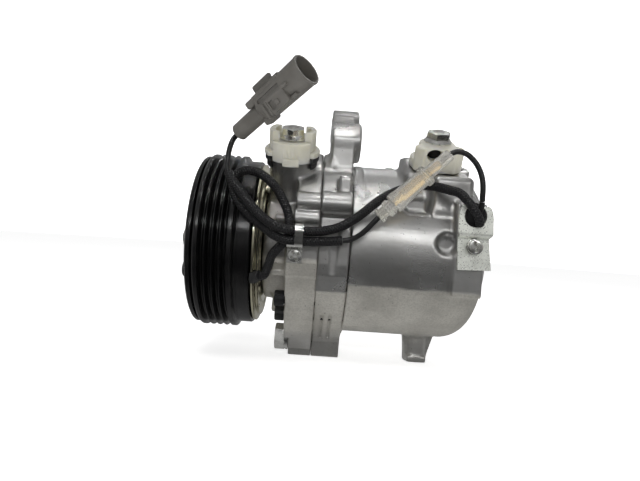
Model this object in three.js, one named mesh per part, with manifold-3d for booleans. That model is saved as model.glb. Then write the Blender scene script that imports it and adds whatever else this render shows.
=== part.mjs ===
// Rotary-vane air-conditioning compressor with an electromagnetic clutch, in millimetres, +Z up.
// Every piece is drawn in shaft coordinates: the shaft's axis is the X axis, pointing to the rear, and x = 0 is
// the first rib crest of the pulley. The group's position then moves the whole to the part's own frame, whose
// origin is the middle of the centre housing's lug foot, straight below the shaft.

import * as THREE from "three";
import { mergeVertices } from "three/addons/utils/BufferGeometryUtils.js";
import Module from "manifold-3d";

const wasm = await Module();
wasm.setup();

// ---------------------------------------------------------------- driving dimensions

const GAP = 0.3; // between pieces that touch
const SHAFT_HEIGHT = 60; // from the lug's foot to the shaft's axis

// pulley, for a belt with four ribs
const RIB_PITCH = 3.56;
const GROOVES = 4;
const PULLEY_RADIUS = 46.6;
const GROOVE_DEPTH = 3;
const CREST_HALF_WIDTH = 0.4;
const GROOVE_FLANK = 1.09;
const PULLEY_FRONT = -2.4;
const DRUM_RADIUS = 44.1;
const PULLEY_REAR = 24.6;
const BEARING_OUTER = 25;
const NOSE_RADIUS = 17.5;

// clutch
const ARMATURE_RADIUS = 45.2;
const ARMATURE_THICKNESS = 3.2;
const AIR_GAP = 0.6;
const RIVETS = 3;
const RIVET_CIRCLE = 31;

// housing: where each casting starts and ends along the shaft
const HEAD_LOWER_FACE = 42;
const HEAD_UPPER_FACE = 45;
const HEAD_REAR = 56.6;
const CENTRE_FRONT = HEAD_REAR + GAP;
const CENTRE_REAR = 71.9;
const SHELL_FRONT = CENTRE_REAR + GAP;
const SHELL_REAR = 140;
const FLANGE_RADIUS = 44;
const SHELL_RADIUS = 45.5;
const SHELL_WALL = 5;
const SHELL_FILLET = 15.5;

// lugs
const LUG_RADIUS = 8.5;
const LUG_HEIGHT = -51.5;
const LUG_FOOT_HALF = 7;
const EAR_FRONT = 60.4;
const EAR_REAR = 76;
const EAR_HOLE = 4.2;
const UPPER_EYE = { y: 5, z: 68.4, r: 9.1 };
const LOWER_EYE = { y: -8, z: 57, r: 10.5 };
const FOOT_X = 115;

// flat pads on the side of the castings: y of the face, and the screw on each as [x, z]
const CLIP_PAD = -45.8;
const CLIP_SCREW = [46.2, -4.6];
const SWITCH_PAD = -46.2;
const BRACKET_SCREW = [128.6, 5.1];
const SWITCH_PLACE = [127.5, 19.2];
const SCREW_SHANK = 1.7;

// ports lean towards the front of the engine, away from the vertical
const PORT_TILT = (27 * Math.PI) / 180;
const FRONT_PORT_X = 40.5;
const REAR_PORT_X = 113;
const PORT_RADIUS = 11.2;
const FRONT_PORT_TOP = 51.5;
const REAR_PORT_TOP = 50.5;
const CAP_RADIUS = 11.7;
const CAP_WALL = 13;
const CAP_FLANGE = 14;

// compressing set
const ROTOR_RADIUS = 26;
const BORE_SHORT = 26.8;
const BORE_LONG = 31.5;
const BLOCK_RADIUS = 36;
const VANES = 5;
const VANE_THICKNESS = 2.4;
const JOURNAL_RADIUS = 8;

// housing bolts, as [y, z], and the bolt in the bottom lug
const BOLT_PLACES = [
  [-31.1, -26.7],
  [-20.75, -35.4],
  [31.1, -26.7],
  [32.6, 24.7],
];
const BOLT_SHANK = 2.4;
const LUG_BOLT_SHANK = 3.7;

// wiring
const SLEEVE_DIAMETER = 4.3;
const WIRE_DIAMETER = 2.5;
const LEAD_LEVEL = -51.5; // y of the sleeves where the clip holds them
const LEAD_SIDES = 8;

// flats round a full turn of each kind of round surface
const WIDE = 36; // pulley, coil and castings
const MIDDLE = 24; // discs and rings inside the housing
const NARROW = 16; // shafts, caps and bearings
const SMALL = 10; // bolts, screws and holes

// routes of the leads
const COIL_LEAD = [
  [30.2, -41.3, -15.4], [32, -42.9, -14.9], [33.9, -44.5, -10.5], [35.5, -46, -5.2],
  [38.6, -47.7, -1.2], [41.7, -48.6, 2.2], [42.8, -48.2, 5.6], [42.8, -47.4, 8.8],
  [42.3, -46.7, 12.6], [41, -46, 16.7], [38.8, -45.5, 20.8], [35.6, -45, 25.7],
  [31.1, -44.5, 30.1], [26.1, -44, 32.9], [21.3, -43.5, 33.8], [17.5, -43, 32.7],
  [15.2, -43, 29.9], [14.8, -43.8, 26.3], [16.8, -45.2, 21.1], [20.2, -46.8, 16.5],
  [24.3, -48, 12.6], [28.8, -49, 9.2], [33.4, -51, 6], [37.7, -53, 3.6],
  [42.4, -53.4, 2.4], [47.3, -52, 2.4], [52.8, -50.7, 2.4], [59.6, -50, 2.8],
  [67.4, -50, 3.8],
];
const FEED_SLEEVE = [
  [12.9, -47.3, 31.8], [15.3, -48.6, 28], [19.2, -50.4, 23.6], [25.5, -52.7, 16.5],
  [31.5, -54.7, 11.4], [37.2, -55.4, 8.3], [42.1, -54.2, 7.1], [47, -52.2, 7.1],
  [53.4, -50.6, 7], [59.3, -50, 7.8], [65.1, -49.5, 9.6], [70.5, -49, 12.6],
  [75.8, -48.5, 16.7], [79.8, -48, 20.4], [83.8, -47.5, 23.8], [88.3, -47, 26.9],
  [92.8, -47, 29.1], [98.3, -47, 30.9], [104.3, -47, 32], [109.8, -47.5, 31.7],
  [114.9, -49.5, 30.5], [119.3, -52.3, 29], [122.2, -53.5, 26.2],
];
const FEED_WIRE = [
  [12.7, -47.2, 32.2], [12.3, -46.9, 33], [12, -46.2, 36], [12, -45.6, 39.4], [12.2, -44.6, 42.9],
  [12.9, -43.6, 46.4], [13.7, -42, 48.9], [15.4, -41.9, 51],
];
const BULLET_WIRE = [
  [67.7, -50, 3.8], [71, -50.5, 4.5], [74.4, -51.6, 6.4], [77.7, -52.8, 9.3],
  [80.6, -53.7, 12.7], [82.8, -54, 15.3],
];
const SWITCH_WIRE = [
  [113.2, -54, 46.1], [116.2, -54, 47.4], [120.2, -54, 46.8], [123.8, -54, 44.2],
  [126.5, -54, 40.7], [128.3, -54, 36.4], [129, -54, 31.9], [129.2, -53.6, 28.4],
  [129.5, -53, 25.9],
];

// connectors: where each starts and the point that it points at
const CONNECTOR_TAIL = new THREE.Vector3(15.6, -42, 51.3);
const CONNECTOR_MOUTH = new THREE.Vector3(47.1, -68.5, 74);
const BULLET_START = new THREE.Vector3(83, -54, 15.6);
const BULLET_END = new THREE.Vector3(113, -54, 45.9);

// ---------------------------------------------------------------- materials

function finish(color, roughness, metalness) {
  return new THREE.MeshStandardMaterial({ color, roughness, metalness });
}

const castAluminium = finish(0x9c9c98, 0.45, 0.9);
const blackPaint = finish(0x151515, 0.4, 0.3);
const zincPlate = finish(0xc4c4bc, 0.3, 0.95);
const yellowZinc = finish(0xb9ac7a, 0.35, 0.9);
const steel = finish(0x8f9194, 0.35, 0.95);
const darkSteel = finish(0x202122, 0.45, 0.8);
const blackRubber = finish(0x101010, 0.8, 0);
const copper = finish(0x9a5a35, 0.4, 0.8);
const palePlastic = finish(0xd8d8cc, 0.5, 0);
const greyPlastic = finish(0x75726b, 0.6, 0);
const clearPlastic = finish(0xd9d6c8, 0.35, 0);
const brass = finish(0xc9a860, 0.3, 0.95);
const blackPlastic = finish(0x18181a, 0.5, 0);

// ---------------------------------------------------------------- solids

const YZX = new THREE.Matrix4().makeBasis(
  new THREE.Vector3(0, 1, 0),
  new THREE.Vector3(0, 0, 1),
  new THREE.Vector3(1, 0, 0),
);

// A closed geometry as a solid whose faces point outwards.
function solid(geometry) {
  const bare = geometry.index ? geometry.toNonIndexed() : geometry.clone();
  bare.deleteAttribute("normal");
  bare.deleteAttribute("uv");
  const merged = mergeVertices(bare, 1e-4);
  const vertProperties = merged.attributes.position.array;
  const corners = merged.index.array;
  const faces = [];
  const flipped = [];
  for (let i = 0; i < corners.length; i += 3) {
    const [a, b, c] = corners.slice(i, i + 3);
    if (a === b || b === c || c === a) continue;
    faces.push(a, b, c);
    flipped.push(a, c, b);
  }
  const build = (list) =>
    new wasm.Manifold(new wasm.Mesh({ numProp: 3, vertProperties, triVerts: new Uint32Array(list) }));
  const made = build(faces);
  return made.volume() < 0 ? build(flipped) : made;
}

function join(...pieces) {
  return pieces.reduce((whole, piece) => whole.add(piece));
}

function cut(whole, ...tools) {
  return tools.reduce((left, tool) => left.subtract(tool), whole);
}

function geometryOf(made) {
  const { vertProperties, triVerts } = made.getMesh();
  const geometry = new THREE.BufferGeometry();
  geometry.setAttribute("position", new THREE.BufferAttribute(vertProperties, 3));
  geometry.setIndex(new THREE.BufferAttribute(triVerts, 1));
  const faceted = geometry.toNonIndexed();
  faceted.computeVertexNormals();
  return faceted;
}

// A ring or a solid of revolution about the shaft. The profile is a list of [x, radius].
function turned(profile, segments = MIDDLE) {
  const points = [...profile, profile[0]].map(([x, r]) => new THREE.Vector2(r, x));
  return solid(new THREE.LatheGeometry(points, segments).rotateZ(-Math.PI / 2));
}

// The same about a vertical line through the origin. The profile is a list of [radius, height].
function spun(profile, segments = NARROW) {
  const points = [...profile, profile[0]].map(([r, z]) => new THREE.Vector2(r, z));
  return solid(new THREE.LatheGeometry(points, segments).rotateX(Math.PI / 2));
}

function ring(x0, x1, inner, outer, segments = NARROW) {
  return turned([[x0, inner], [x1, inner], [x1, outer], [x0, outer]], segments);
}

function rodX(y, z, r, x0, x1, sides = SMALL) {
  const rod = new THREE.CylinderGeometry(r, r, x1 - x0, sides).rotateZ(Math.PI / 2);
  return solid(rod.translate((x0 + x1) / 2, y, z));
}

function rodY(x, z, r, y0, y1, sides = SMALL) {
  return solid(new THREE.CylinderGeometry(r, r, y1 - y0, sides).translate(x, (y0 + y1) / 2, z));
}

function rodZ(x, y, r, z0, z1, sides = SMALL) {
  const rod = new THREE.CylinderGeometry(r, r, z1 - z0, sides).rotateX(Math.PI / 2);
  return solid(rod.translate(x, y, (z0 + z1) / 2));
}

function box(x0, x1, y0, y1, z0, z1) {
  const block = new THREE.BoxGeometry(x1 - x0, y1 - y0, z1 - z0);
  return solid(block.translate((x0 + x1) / 2, (y0 + y1) / 2, (z0 + z1) / 2));
}

// A full circle in the outline gets about this many segments.
function extruded(shape, depth, segments) {
  return new THREE.ExtrudeGeometry(shape, { depth, bevelEnabled: false, curveSegments: segments / 2 });
}

// A prism along the shaft, from an outline in y and z.
function prismX(shape, x0, x1, segments = NARROW) {
  return solid(extruded(shape, x1 - x0, segments).applyMatrix4(YZX).translate(x0, 0, 0));
}

// An upright prism, from an outline in x and y.
function prismZ(shape, z0, z1, segments = SMALL) {
  return solid(extruded(shape, z1 - z0, segments).translate(0, 0, z0));
}

function outline(points) {
  return new THREE.Shape(points.map(([a, b]) => new THREE.Vector2(a, b)));
}

function disc(y, z, r) {
  return new THREE.Shape().absarc(y, z, r, 0, 2 * Math.PI);
}

// The band that two circles and their outer tangents enclose.
function belt(a, b) {
  const span = Math.hypot(b.y - a.y, b.z - a.z);
  const direction = Math.atan2(b.z - a.z, b.y - a.y);
  const lean = Math.acos((a.r - b.r) / span);
  const shape = new THREE.Shape();
  shape.absarc(a.y, a.z, a.r, direction + lean, direction - lean + 2 * Math.PI, false);
  shape.absarc(b.y, b.z, b.r, direction - lean, direction + lean, false);
  return shape;
}

function roundedPlate(x0, x1, y0, y1, r) {
  const shape = new THREE.Shape();
  shape.absarc(x1 - r, y0 + r, r, -Math.PI / 2, 0, false);
  shape.absarc(x1 - r, y1 - r, r, 0, Math.PI / 2, false);
  shape.absarc(x0 + r, y1 - r, r, Math.PI / 2, Math.PI, false);
  shape.absarc(x0 + r, y0 + r, r, Math.PI, 1.5 * Math.PI, false);
  return shape;
}

// From upright port coordinates to the leaning port that meets the shaft's axis at x.
function atPort(made, x) {
  const lean = new THREE.Matrix4().makeRotationX(PORT_TILT);
  return made.transform(lean.setPosition(x, 0, 0).elements);
}

// Stands a piece that was made upright on the line from start towards end, with its x towards a side.
function along(made, start, end, side = new THREE.Vector3(0, -1, 0)) {
  const heading = end.clone().sub(start).normalize();
  const x = side.clone().addScaledVector(heading, -side.dot(heading)).normalize();
  const y = heading.clone().cross(x);
  return made.transform(new THREE.Matrix4().makeBasis(x, y, heading).setPosition(start).elements);
}

function tube(route, diameter, steps) {
  const path = new THREE.CatmullRomCurve3(route.map((p) => new THREE.Vector3(...p)), false, "centripetal");
  const corners = Array.from({ length: LEAD_SIDES }, (_, i) => {
    const angle = ((i + 0.5) * 2 * Math.PI) / LEAD_SIDES;
    return new THREE.Vector2(Math.cos(angle), Math.sin(angle)).multiplyScalar(diameter / 2);
  });
  return solid(new THREE.ExtrudeGeometry(new THREE.Shape(corners), { steps, extrudePath: path }));
}

// ---------------------------------------------------------------- assembly

const compressor = new THREE.Group();
compressor.position.set(-(CENTRE_FRONT + CENTRE_REAR) / 2, 0, SHAFT_HEIGHT);

function add(name, made, material) {
  const mesh = new THREE.Mesh(geometryOf(made), material);
  mesh.name = name;
  compressor.add(mesh);
}

// ---------------------------------------------------------------- pulley and clutch

function pulley() {
  const groove = (i) => {
    const crest = i * RIB_PITCH + CREST_HALF_WIDTH;
    const next = (i + 1) * RIB_PITCH - CREST_HALF_WIDTH;
    const bottom = PULLEY_RADIUS - GROOVE_DEPTH;
    return [
      [crest, PULLEY_RADIUS],
      [crest + GROOVE_FLANK, bottom],
      [next - GROOVE_FLANK, bottom],
      [next, PULLEY_RADIUS],
    ];
  };
  const grooves = Array.from({ length: GROOVES }, (_, i) => groove(i)).flat();
  return turned(
    [
      [PULLEY_FRONT, BEARING_OUTER + GAP],
      [PULLEY_FRONT, PULLEY_RADIUS - 1.4],
      [PULLEY_FRONT + 1, PULLEY_RADIUS],
      ...grooves,
      [16.3, PULLEY_RADIUS],
      [17.4, DRUM_RADIUS],
      [PULLEY_REAR, DRUM_RADIUS],
      [PULLEY_REAR, 40.6],
      [2, 39.6],
      [2, 28.2],
      [19.6, 28.2],
      [19.6, BEARING_OUTER + GAP],
    ],
    WIDE,
  );
}

function bearingCage() {
  const balls = 8;
  const middle = 21.2;
  const cage = ring(7.6, 10.8, middle - 0.5, middle + 0.5);
  const ball = (i) => {
    const angle = (i * 2 * Math.PI) / balls;
    const sphere = new THREE.IcosahedronGeometry(1.3);
    return solid(sphere.translate(9.2, middle * Math.cos(angle), middle * Math.sin(angle)));
  };
  return join(cage, ...Array.from({ length: balls }, (_, i) => ball(i)));
}

// A point on the rivet circle, as [y, z].
function rivetPlace(i) {
  const angle = Math.PI / 2 + (i * 2 * Math.PI) / RIVETS;
  return [RIVET_CIRCLE * Math.cos(angle), RIVET_CIRCLE * Math.sin(angle)];
}

const armatureRear = PULLEY_FRONT - AIR_GAP;
const armatureFront = armatureRear - ARMATURE_THICKNESS;
const springRear = armatureFront - 0.6;
const springFront = springRear - 1.2;

function armaturePlate() {
  const plate = turned([
    [armatureRear, 18.5],
    [armatureRear, ARMATURE_RADIUS],
    [armatureFront + 1.6, ARMATURE_RADIUS],
    [armatureFront, ARMATURE_RADIUS - 1.6],
    [armatureFront, 18.5],
  ], WIDE);
  const rivets = Array.from({ length: RIVETS }, (_, i) => {
    const [y, z] = rivetPlace(i);
    return join(
      rodX(y, z, 2.6, springFront - 0.8, armatureFront + 0.5),
      rodX(y, z, 4.2, springFront - 2.2, springFront - 0.8),
    );
  });
  return join(plate, ...rivets);
}

function hubSpring() {
  const arms = Array.from({ length: RIVETS }, (_, i) => {
    const [y, z] = rivetPlace(i);
    return prismX(belt({ y: 0, z: 0, r: 13 }, { y, z, r: 6.4 }), springFront, springRear, SMALL);
  });
  const holes = Array.from({ length: RIVETS }, (_, i) => {
    const [y, z] = rivetPlace(i);
    return rodX(y, z, 3.2, springFront - 1, springRear + 1);
  });
  return cut(join(...arms), ...holes, rodX(0, 0, 9.3, springFront - 1, springRear + 1, NARROW));
}

function clutchHub() {
  return turned([
    [springFront - 2.8, 6.6],
    [springFront - 2.8, 11.4],
    [springFront - GAP, 12.4],
    [springFront - GAP, 9],
    [-0.6, 9],
    [-0.6, 6.6],
  ], NARROW);
}

const nutRear = springFront - 2.8 - GAP;
const nutFront = nutRear - 5.6;

function shaftNut() {
  const hexagon = rodX(0, 0, 6.6, nutFront, nutRear - 1.4, 6);
  const flange = rodX(0, 0, 7.6, nutRear - 1.6, nutRear, NARROW);
  return cut(join(hexagon, flange), rodX(0, 0, 4 + GAP, nutFront - 1, nutRear + 1));
}

function driveShaft() {
  return turned([
    [nutFront - 1.2, 0],
    [nutFront - 1.2, 3.2],
    [nutFront - 0.4, 4],
    [nutRear, 4],
    [nutRear + 0.6, 6.2],
    [4, 6.2],
    [4.8, 7.4],
    [30, 7.4],
    [30.6, JOURNAL_RADIUS],
    [69, JOURNAL_RADIUS],
    [69.4, 9],
    [99, 9],
    [99.4, JOURNAL_RADIUS],
    [113, JOURNAL_RADIUS],
    [114, 7],
    [114, 0],
  ], NARROW);
}

add("pulley", pulley(), blackPaint);
add("pulley_bearing_outer", ring(-0.8, 18.6, 22.9, BEARING_OUTER, MIDDLE), steel);
add("pulley_bearing_cage", bearingCage(), steel);
add("pulley_bearing_inner", ring(0.7, 18.6, NOSE_RADIUS + GAP, 19.5, MIDDLE), steel);
add("nose_circlip", ring(-0.7, 0.2, 16.7, 19.4), darkSteel);
add("armature_plate", armaturePlate(), blackPaint);
add("hub_spring", hubSpring(), darkSteel);
add("clutch_hub", clutchHub(), blackPaint);
add("shaft_nut", shaftNut(), zincPlate);
add("drive_shaft", driveShaft(), steel);

// ---------------------------------------------------------------- field coil

function fieldCoil() {
  return turned([
    [5.4, 29.2],
    [5.4, 31.6],
    [24.2, 31.6],
    [24.2, 36],
    [5.4, 36],
    [5.4, 38.6],
    [24.4, 38.9],
    [25.2, 42.6],
    [26.6, 42.8],
    [28.8, 35.4],
    [28.8, 21],
    [26.2, 21],
    [26.2, 29.2],
  ], WIDE);
}

add("field_coil", fieldCoil(), yellowZinc);
add("coil_winding", ring(6.4, 23.8, 31.9, 35.7, WIDE), copper);

// A rubber nozzle that faces the end of a lead. It starts a gap away from the end and goes on in the lead's line.
function nozzle(end, before, length, tipRadius, footRadius) {
  const tip = new THREE.Vector3(...end);
  const heading = new THREE.Vector3(...end).sub(new THREE.Vector3(...before)).normalize();
  tip.addScaledVector(heading, GAP);
  const cone = spun([[0, 0], [tipRadius, 0], [footRadius, length * 0.6], [footRadius, length], [0, length]], SMALL);
  return along(cone, tip, tip.clone().add(heading));
}

// The grommet is cut off where it meets the coil and the pulley.
function coilGrommet() {
  const [end, before] = COIL_LEAD;
  return cut(nozzle(end, before, 6, 2.4, 3.2), turned([
    [20, 0],
    [20, 47],
    [PULLEY_REAR + GAP, 47],
    [PULLEY_REAR + GAP, 43.1],
    [26.7, 43.1],
    [29.1, 35.4],
    [29.1, 0],
  ], WIDE));
}

add("coil_grommet", coilGrommet(), blackRubber);

// ---------------------------------------------------------------- front head

const lug = { y: 0, z: LUG_HEIGHT, r: LUG_RADIUS };
const flange = { y: 0, z: 0, r: FLANGE_RADIUS };
const footCut = box(0, 200, -60, 60, -90, -SHAFT_HEIGHT);

function lugFoot(x0, x1) {
  return box(x0, x1, -LUG_FOOT_HALF, LUG_FOOT_HALF, -SHAFT_HEIGHT, LUG_HEIGHT);
}

function boltHoles(x0, x1) {
  return BOLT_PLACES.map(([y, z]) => rodX(y, z, BOLT_SHANK + GAP, x0, x1));
}

// The flange with its bottom lug. Its upper half is set back behind the front port.
function headFlange() {
  const upper = prismX(disc(0, 0, FLANGE_RADIUS), HEAD_UPPER_FACE, HEAD_REAR, WIDE);
  const lower = cut(
    prismX(belt(flange, lug), HEAD_LOWER_FACE, HEAD_REAR, WIDE),
    box(HEAD_LOWER_FACE - 1, HEAD_UPPER_FACE, -60, 60, 1, 60),
  );
  const clipPad = join(
    box(HEAD_LOWER_FACE, HEAD_REAR, CLIP_PAD, -30, -8, 1),
    box(HEAD_UPPER_FACE, HEAD_REAR, CLIP_PAD, -30, 0, 8),
  );
  const ledge = prismX(
    outline([[CLIP_PAD, -8], [CLIP_PAD + 1.4, -14], [-30, -14], [-30, -8]]),
    HEAD_LOWER_FACE,
    HEAD_REAR,
  );
  const upperBoss = rodX(-40.6, 20.8, 5, HEAD_UPPER_FACE, HEAD_REAR, NARROW);
  const lowerBoss = rodX(-42.6, 13.2, 4.2, HEAD_UPPER_FACE, HEAD_REAR, NARROW);
  const hump = prismX(
    belt({ y: 0, z: 20, r: 22 }, { y: -10, z: 40, r: 10 }),
    HEAD_UPPER_FACE,
    HEAD_REAR,
  );
  const foot = lugFoot(HEAD_LOWER_FACE, HEAD_REAR);
  return join(upper, lower, clipPad, ledge, upperBoss, lowerBoss, hump, foot);
}

function frontHead() {
  const body = turned([
    [-1.6, 13.2],
    [-1.6, NOSE_RADIUS],
    [-0.9, NOSE_RADIUS],
    [-0.9, 16.4],
    [0.4, 16.4],
    [0.4, NOSE_RADIUS],
    [18.9, NOSE_RADIUS],
    [18.9, 20.4],
    [29.1, 20.4],
    [29.1, 29],
    [30.6, 31],
    [HEAD_UPPER_FACE + 1, 32],
    [HEAD_UPPER_FACE + 1, 12.2],
    [30, 12.2],
    [30, 8.6],
    [22, 8.6],
    [22, 13.2],
  ]);
  const port = atPort(rodZ(0, 0, PORT_RADIUS, 20, FRONT_PORT_TOP, MIDDLE), FRONT_PORT_X);
  const portWay = atPort(rodZ(0, 0, 4, 40, FRONT_PORT_TOP + 1), FRONT_PORT_X);
  const suctionRoom = ring(49.5, HEAD_REAR + 1, 16, 33, MIDDLE);
  const shaftWay = rodX(0, 0, 12.2, 30, HEAD_REAR + 1, MIDDLE);
  const head = cut(join(body, headFlange(), port), suctionRoom, shaftWay, portWay, footCut);
  const lugBolt = rodX(0, LUG_HEIGHT, LUG_BOLT_SHANK + GAP, 30, 70);
  const lugFace = box(40, 44.4, -12, 12, -61, LUG_HEIGHT + 7.4);
  const screwHole = rodY(...CLIP_SCREW, SCREW_SHANK + GAP, -50, -38);
  return cut(head, ...boltHoles(30, 70), lugBolt, lugFace, screwHole);
}

add("front_head", frontHead(), castAluminium);
add("shaft_seal", ring(9, 20, 7.7, 12.8), blackRubber);
add("front_needle_bearing", ring(31, 47, JOURNAL_RADIUS + GAP, 11.9), steel);

// ---------------------------------------------------------------- centre housing

const HOUSING_BORE = 38;

function centreHousing() {
  const body = prismX(disc(0, 0, FLANGE_RADIUS), CENTRE_FRONT, CENTRE_REAR, WIDE);
  const lugNeck = outline([
    [-16, -40], [-9.5, -48], [-LUG_RADIUS, LUG_HEIGHT], [LUG_RADIUS, LUG_HEIGHT], [9.5, -48], [16, -40],
  ]);
  const lugs = join(
    prismX(lugNeck, CENTRE_FRONT, CENTRE_REAR),
    prismX(disc(0, LUG_HEIGHT, LUG_RADIUS), CENTRE_FRONT, CENTRE_REAR),
    lugFoot(CENTRE_FRONT, CENTRE_REAR),
  );
  const sideBoss = rodX(-40.4, 20.8, 6, CENTRE_FRONT, CENTRE_REAR, NARROW);
  const hump = prismX(
    belt({ y: 0, z: 20, r: 22 }, { y: -10, z: 40, r: 10 }),
    CENTRE_FRONT,
    EAR_FRONT + 2,
  );
  const web = outline([[-18.4, 57], [-18.4, 30], [-20, 20], [14, 36], [14, 66], [-4, 72]]);
  const ear = join(
    prismX(web, EAR_FRONT, CENTRE_REAR),
    prismX(disc(UPPER_EYE.y, UPPER_EYE.z, UPPER_EYE.r), EAR_FRONT, EAR_REAR),
    prismX(disc(LOWER_EYE.y, LOWER_EYE.z, LOWER_EYE.r), EAR_FRONT, EAR_REAR),
  );
  const earHoles = [UPPER_EYE, LOWER_EYE].map((eye) =>
    rodX(eye.y, eye.z, EAR_HOLE, EAR_FRONT - 1, EAR_REAR + 1),
  );
  return cut(
    join(body, lugs, sideBoss, hump, ear),
    footCut,
    rodX(0, 0, HOUSING_BORE, CENTRE_FRONT - 1, CENTRE_REAR + 1, WIDE),
    ...boltHoles(50, 80),
    ...earHoles,
    rodX(0, LUG_HEIGHT, LUG_BOLT_SHANK + GAP, 50, 68),
  );
}

add("centre_housing", centreHousing(), castAluminium);
add("front_block_seal", ring(58.4, 59.8, BLOCK_RADIUS + GAP, HOUSING_BORE - GAP, WIDE), blackRubber);
add("rear_block_seal", ring(69.8, 71.2, BLOCK_RADIUS + GAP, HOUSING_BORE - GAP, WIDE), blackRubber);

// ---------------------------------------------------------------- compressing set

const FRONT_BLOCK = [57.4, 69];
const CYLINDER = [69.3, 99.3];
const REAR_BLOCK = [99.6, 112];

function cylinderBlock() {
  const bore = new THREE.Path().absellipse(0, 0, BORE_SHORT, BORE_LONG, 0, 2 * Math.PI);
  const shape = disc(0, 0, BLOCK_RADIUS);
  shape.holes.push(bore);
  return prismX(shape, ...CYLINDER, MIDDLE);
}

// A vane's slot is parallel to a radius, beside it, so the vane trails as the rotor turns.
function vaneBlock(i, thickness, inner, outer, x0, x1) {
  const aside = 6;
  const blade = new THREE.BoxGeometry(x1 - x0, outer - inner, thickness);
  blade.translate((x0 + x1) / 2, (outer + inner) / 2, aside);
  return solid(blade.rotateX((i * 2 * Math.PI) / VANES));
}

function rotor() {
  const [x0, x1] = [CYLINDER[0] + GAP, CYLINDER[1] - GAP];
  const slots = Array.from({ length: VANES }, (_, i) =>
    vaneBlock(i, VANE_THICKNESS + 2 * GAP, 13, 40, x0 - 1, x1 + 1),
  );
  return cut(rodX(0, 0, ROTOR_RADIUS, x0, x1, MIDDLE), rodX(0, 0, 9 + GAP, x0 - 1, x1 + 1, NARROW), ...slots);
}

add("front_side_block", ring(...FRONT_BLOCK, JOURNAL_RADIUS + 0.5, BLOCK_RADIUS, MIDDLE), castAluminium);
add("cylinder_block", cylinderBlock(), castAluminium);
add("rear_side_block", ring(...REAR_BLOCK, 11.5, BLOCK_RADIUS, MIDDLE), castAluminium);
add("rear_needle_bearing", ring(100.2, 111, JOURNAL_RADIUS + GAP, 11.2), steel);
add("rotor", rotor(), steel);
for (let i = 0; i < VANES; i += 1) {
  const vane = vaneBlock(i, VANE_THICKNESS, 13.4, 25, CYLINDER[0] + 0.5, CYLINDER[1] - 0.5);
  add(`vane_${i + 1}`, vane, darkSteel);
}
add("discharge_reed", box(78, 91, -4, 4, BLOCK_RADIUS + 0.4, BLOCK_RADIUS + 0.8), steel);

// ---------------------------------------------------------------- rear shell

function fillet(x, r, radius, steps) {
  return Array.from({ length: steps + 1 }, (_, i) => {
    const angle = (i * Math.PI) / 2 / steps;
    return [x - radius + radius * Math.sin(angle), r - radius + radius * Math.cos(angle)];
  });
}

function shellFoot() {
  const shape = outline([
    [FOOT_X - 8, -40], [FOOT_X - 7.6, -46], [FOOT_X - 5.4, -SHAFT_HEIGHT],
    [FOOT_X + 5, -SHAFT_HEIGHT], [FOOT_X + 9.6, -46], [FOOT_X + 10, -40],
  ]);
  const web = new THREE.ExtrudeGeometry(shape, { depth: 4, bevelEnabled: false });
  const plate = solid(web.rotateX(Math.PI / 2).translate(0, 2, 0));
  return join(plate, rodZ(FOOT_X, 0, 7, -SHAFT_HEIGHT, -38, NARROW));
}

function rearShell() {
  const outer = turned([
    [SHELL_FRONT, 0],
    [SHELL_FRONT, SHELL_RADIUS],
    ...fillet(SHELL_REAR, SHELL_RADIUS, SHELL_FILLET, 5),
    [SHELL_REAR, 0],
  ], WIDE);
  const room = turned([
    [SHELL_FRONT - 1, 0],
    [SHELL_FRONT - 1, SHELL_RADIUS - SHELL_WALL],
    ...fillet(SHELL_REAR - SHELL_WALL, SHELL_RADIUS - SHELL_WALL, SHELL_FILLET - SHELL_WALL, 2),
    [SHELL_REAR - SHELL_WALL, 0],
  ], MIDDLE);
  const pedestal = atPort(
    prismZ(roundedPlate(-15.5, 16.5, -12.5, 13.5, 6), 30, REAR_PORT_TOP),
    REAR_PORT_X,
  );
  const rearLobe = atPort(prismZ(roundedPlate(-14, 4, 8, 26, 7), 34, REAR_PORT_TOP - 1), REAR_PORT_X);
  const pad = box(119.4, 134, SWITCH_PAD, -30, -19, 26);
  const oblong = box(SHELL_FRONT, 78, -39, -20, 24, 39);
  const bosses = BOLT_PLACES.map(([y, z]) => rodX(y, z, 4.6, SHELL_FRONT, 90));
  const holes = BOLT_PLACES.map(([y, z]) => rodX(y, z, BOLT_SHANK + GAP, SHELL_FRONT - 1, 86));
  const portWay = atPort(rodZ(0, 0, 4, 30, REAR_PORT_TOP + 1), REAR_PORT_X);
  const blockHole = atPort(rodZ(11.6, 0, 3.2, 44, REAR_PORT_TOP + 1), REAR_PORT_X);
  const screwHole = rodY(...BRACKET_SCREW, SCREW_SHANK + GAP, SWITCH_PAD - 1, -41);
  const shell = join(outer, pedestal, rearLobe, pad, cut(oblong, rodX(0, 0, 44, 70, 80, WIDE)), shellFoot());
  return cut(
    join(cut(shell, room), ...bosses),
    ...holes,
    portWay,
    blockHole,
    screwHole,
    rodZ(FOOT_X, 0, 3.4, -SHAFT_HEIGHT - 1, -49),
  );
}

add("rear_shell", rearShell(), castAluminium);

// ---------------------------------------------------------------- housing bolts

function socketBolt([y, z]) {
  const seat = z > 0 ? HEAD_UPPER_FACE : HEAD_LOWER_FACE;
  const head = rodX(y, z, 4, seat - 5, seat - GAP);
  const shank = rodX(y, z, BOLT_SHANK, seat - 1, 84);
  const socket = rodX(y, z, 2, seat - 6, seat - 2.6, 6);
  return cut(join(head, shank), socket);
}

BOLT_PLACES.forEach((place, i) => add(`housing_bolt_${i + 1}`, socketBolt(place), darkSteel));

const lugBolt = join(
  rodX(0, LUG_HEIGHT, 7.1, 36.6, 42.6, 6),
  rodX(0, LUG_HEIGHT, 7, 42.4, 44.1, NARROW),
  rodX(0, LUG_HEIGHT, LUG_BOLT_SHANK, 44, 67),
);
add("lug_bolt", lugBolt, zincPlate);

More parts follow.
